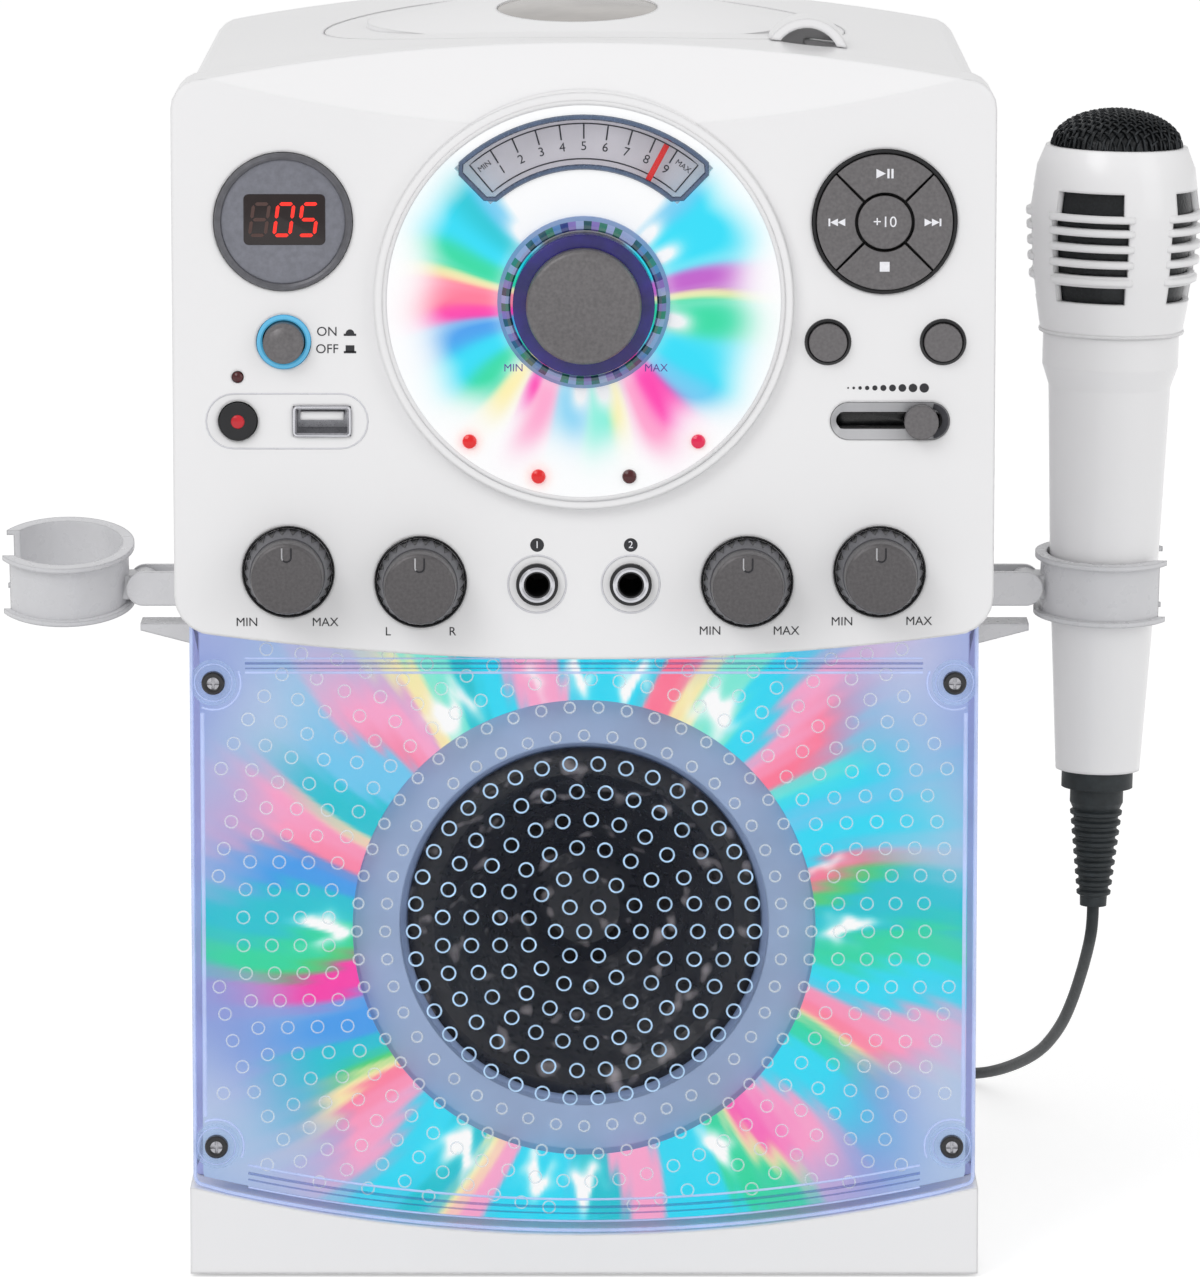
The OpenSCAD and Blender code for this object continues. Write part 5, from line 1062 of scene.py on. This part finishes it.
# a raised and a pressed button
for z, top in ((266.5, arc(0, -0.7, 1.2, 0, 180, 8)), (261.7, bar(2.4, 1.8))):
    stamp(shell_print, shifted(bar(3.4, 0.6), SWITCH_X, z - 1.0))
    stamp(shell_print, shifted(top, SWITCH_X, z))
for i in range(10):  # a row of growing dots
    stamp(shell_print, arc(VOLTS_X + 1.45 * i + 0.097 * i * i, 250.8, 0.25 + 1.05 * i / 9, 0, 348, 15))
piece("shell_print", shell_print, "ink")
for x, text in ((-JACK_X, "1"), (JACK_X, "2")):
    stamp(badges, arc(x, BADGE_Z, 1.9, 0, 352, 23))
    words(numbers, text, x, BADGE_Z, INK_Y - 0.08, 2.8)
piece("socket_badges", badges, "ink")
piece("socket_numbers", numbers, "ink_pale", slot="white_shell")
for text, x in (("MIN", -19.3), ("MAX", 19.8)):
    words(dial_print, text, x, 256.7, PAD_Y - 0.03, 3.0)
piece("dial_print", dial_print, "ink_purple")
line_on_front(shell_lines, stadium(FRAME_X, RECORD.z, 44.5, 15.2, 12), FRONT_Y, 0.45, closed=True)
piece("shell_lines", shell_lines, "shell_line", smooth=60)

# --- microphone
MIC_PLACE = Matrix.Translation((147.404, 0, 86.5)) @ Matrix.Rotation(math.radians(1.24), 4, "Y")
CAGE_LOW, RIM_Z = 167.8, 221.0
CAGE_LINE = [(20.35, CAGE_LOW), (23.35, 186.0), (24.35, 202.4), (22.65, 215.0), (20.25, RIM_Z)]
CAGE_T = 2.0
GROUPS = (-111.5, -21.5, 68.5, 158.5)
WINDOWS = [(177.5, 182.3, 28)] + [(185.6 + 4.5 * i, 188.0 + 4.5 * i, 29) for i in range(4)] + [
    (202.6, 209.1, 25)]
SLATS = (183.95, 189.05, 193.55, 198.05, 202.05)
SLAT_HALF = 33
levels = sorted({CAGE_LOW, CAGE_LOW + 0.5, 172, 175, 212, 215, 218, 220, RIM_Z}
                | {z for window in WINDOWS for z in window[:2]})


def mic_piece(name, bm, finish, **more):
    """Adds a piece drawn in the microphone's own upright frame."""
    bmesh.ops.transform(bm, matrix=MIC_PLACE, verts=bm.verts[:])
    piece(name, bm, finish, "microphone", **more)


def cage_radius(z):
    for (r0, z0), (r1, z1) in zip(CAGE_LINE, CAGE_LINE[1:]):
        if z <= z1:
            return r0 + (r1 - r0) * (z - z0) / (z1 - z0)
    return CAGE_LINE[-1][0]


def polar(r, degrees, z):
    return r * math.cos(math.radians(degrees)), r * math.sin(math.radians(degrees)), z


def in_window(i, j):
    mid = (levels[j] + levels[j + 1]) / 2
    off_group = min(abs(apart(i + 0.5, g)) for g in GROUPS)
    return any(z0 < mid < z1 and off_group < half for z0, z1, half in WINDOWS)


cage = bmesh.new()
skins = [[[cage.verts.new(polar(cage_radius(z) - inward, i, z)) for z in levels] for i in range(360)]
         for inward in (0, CAGE_T)]
mic_piece("mic_head_cage", gapped_shell(cage, *skins, in_window), "white_shell", stands_for="mic_cage",
          smooth=50)

slats = bmesh.new()
for z in SLATS:
    r = cage_radius(z)
    section = [(r - 1.7, z - 0.85), (r + 0.5, z - 1.15), (r + 1.0, z - 0.9), (r + 1.15, z),
               (r + 1.0, z + 0.75), (r + 0.5, z + 1.0), (r - 1.7, z + 0.85)]
    for g in GROUPS:
        rows = []
        for at in range(-SLAT_HALF, SLAT_HALF + 1):
            sink = 1.3 * max(0, (abs(at) - SLAT_HALF + 5) / 5) ** 2
            rows.append([slats.verts.new(polar(sr - (sink if sr > r else 0), g + at, sz))
                         for sr, sz in section])
        join_rows(slats, rows, caps=True)
mic_piece("mic_slats", slats, "white_shell", smooth=40)

# the woven dome: two sets of waved wires across it
DOME_R, DOME_H, WIRE_R, PITCH, WEAVE = 18.35, 10.1, 0.42, 1.75, 0.34
weave = bmesh.new()
for turn in (45, 135):
    c, s = math.cos(math.radians(turn)), math.sin(math.radians(turn))
    count = int(DOME_R / PITCH)
    for n in range(-count, count + 1):
        across = n * PITCH
        half = math.sqrt(DOME_R ** 2 - across ** 2)
        steps = max(8, round(2 * half / 0.8))
        points = []
        for i in range(steps + 1):
            along = half * math.sin(math.pi * (i / steps - 0.5))
            x, y = c * along - s * across, s * along + c * across
            rise = DOME_H * math.sqrt(max(0.0, 1 - (x * x + y * y) / DOME_R ** 2))
            normal = Vector((x / DOME_R ** 2, y / DOME_R ** 2, rise / DOME_H ** 2)).normalized()
            over = WEAVE * math.cos(math.pi * (along / PITCH + n + (turn > 90)))
            points.append(Vector((x, y, RIM_Z + rise)) + normal * over)
        tube(weave, points, WIRE_R, 5)
mic_piece("mic_weave", weave, "wire_black", smooth=60)

seam = turned(bmesh.new(), [(20.2, -0.35), (20.75, -0.3), (20.9, 0.2), (20.75, 0.7), (20.2, 0.75)],
              (0, 0, CAGE_LOW), steps=96, close=True)
mic_piece("mic_seam", seam, "white_shell", smooth=50)

# --- stage and light
FLOOR_LIFT = 0.40  # light of its own that the floor shows to the camera


def larger(tree, a, b):
    return add_node(tree, "ShaderNodeMath", {0: a, 1: b}, operation="MAXIMUM").outputs[0]


floor_material = bpy.data.materials.new("floor")
floor_material.use_nodes = True
tree = floor_material.node_tree
tree.nodes.clear()
path = tree.nodes.new("ShaderNodeLightPath").outputs
seen = larger(tree, path["Is Camera Ray"], larger(tree, path["Is Glossy Ray"], path["Is Transmission Ray"]))
lift = add_node(tree, "ShaderNodeMath", {0: seen, 1: FLOOR_LIFT}, operation="MULTIPLY")
paint = add_node(tree, "ShaderNodeBsdfDiffuse", {"Color": (0.80, 0.80, 0.80, 1)})
shine = add_node(tree, "ShaderNodeEmission", {"Strength": lift.outputs[0]})
both = add_node(tree, "ShaderNodeAddShader", {0: paint.outputs[0], 1: shine.outputs[0]})
add_node(tree, "ShaderNodeOutputMaterial", {"Surface": both.outputs[0]})

floor_bm = bmesh.new()
bmesh.ops.create_grid(floor_bm, x_segments=4, y_segments=4, size=9000)
floor = put_in_scene("floor", finish_mesh(floor_bm, "floor"))
floor.data.materials.append(floor_material)

world = bpy.data.worlds.new("studio")
bpy.context.scene.world = world
world.use_nodes = True
tree = world.node_tree
path = tree.nodes.new("ShaderNodeLightPath").outputs
seen = larger(tree, path["Is Camera Ray"], path["Is Transmission Ray"])
strength = add_node(tree, "ShaderNodeMapRange", {"Value": seen, "To Min": 0.75, "To Max": 1.0})
feed(tree.nodes["Background"], {"Color": (1, 1, 1, 1), "Strength": strength.outputs["Result"]})


def soft_light(name, at, aim, size, power):
    lamp = bpy.data.lights.new(name, "AREA")
    lamp.shape = "RECTANGLE"
    lamp.size, lamp.size_y = size
    lamp.energy = power
    holder = put_in_scene(name, lamp)
    holder.location = at
    holder.rotation_euler = (Vector(aim) - Vector(at)).to_track_quat("-Z", "Y").to_euler()


soft_light("key", (-1.1, -1.6, 1.7), (0, 0, 0.18), (1.2, 1.2), 15)
soft_light("fill", (1.6, -1.2, 0.9), (0, 0, 0.18), (1.0, 1.4), 5)

bpy.context.scene.view_settings.view_transform = "Standard"
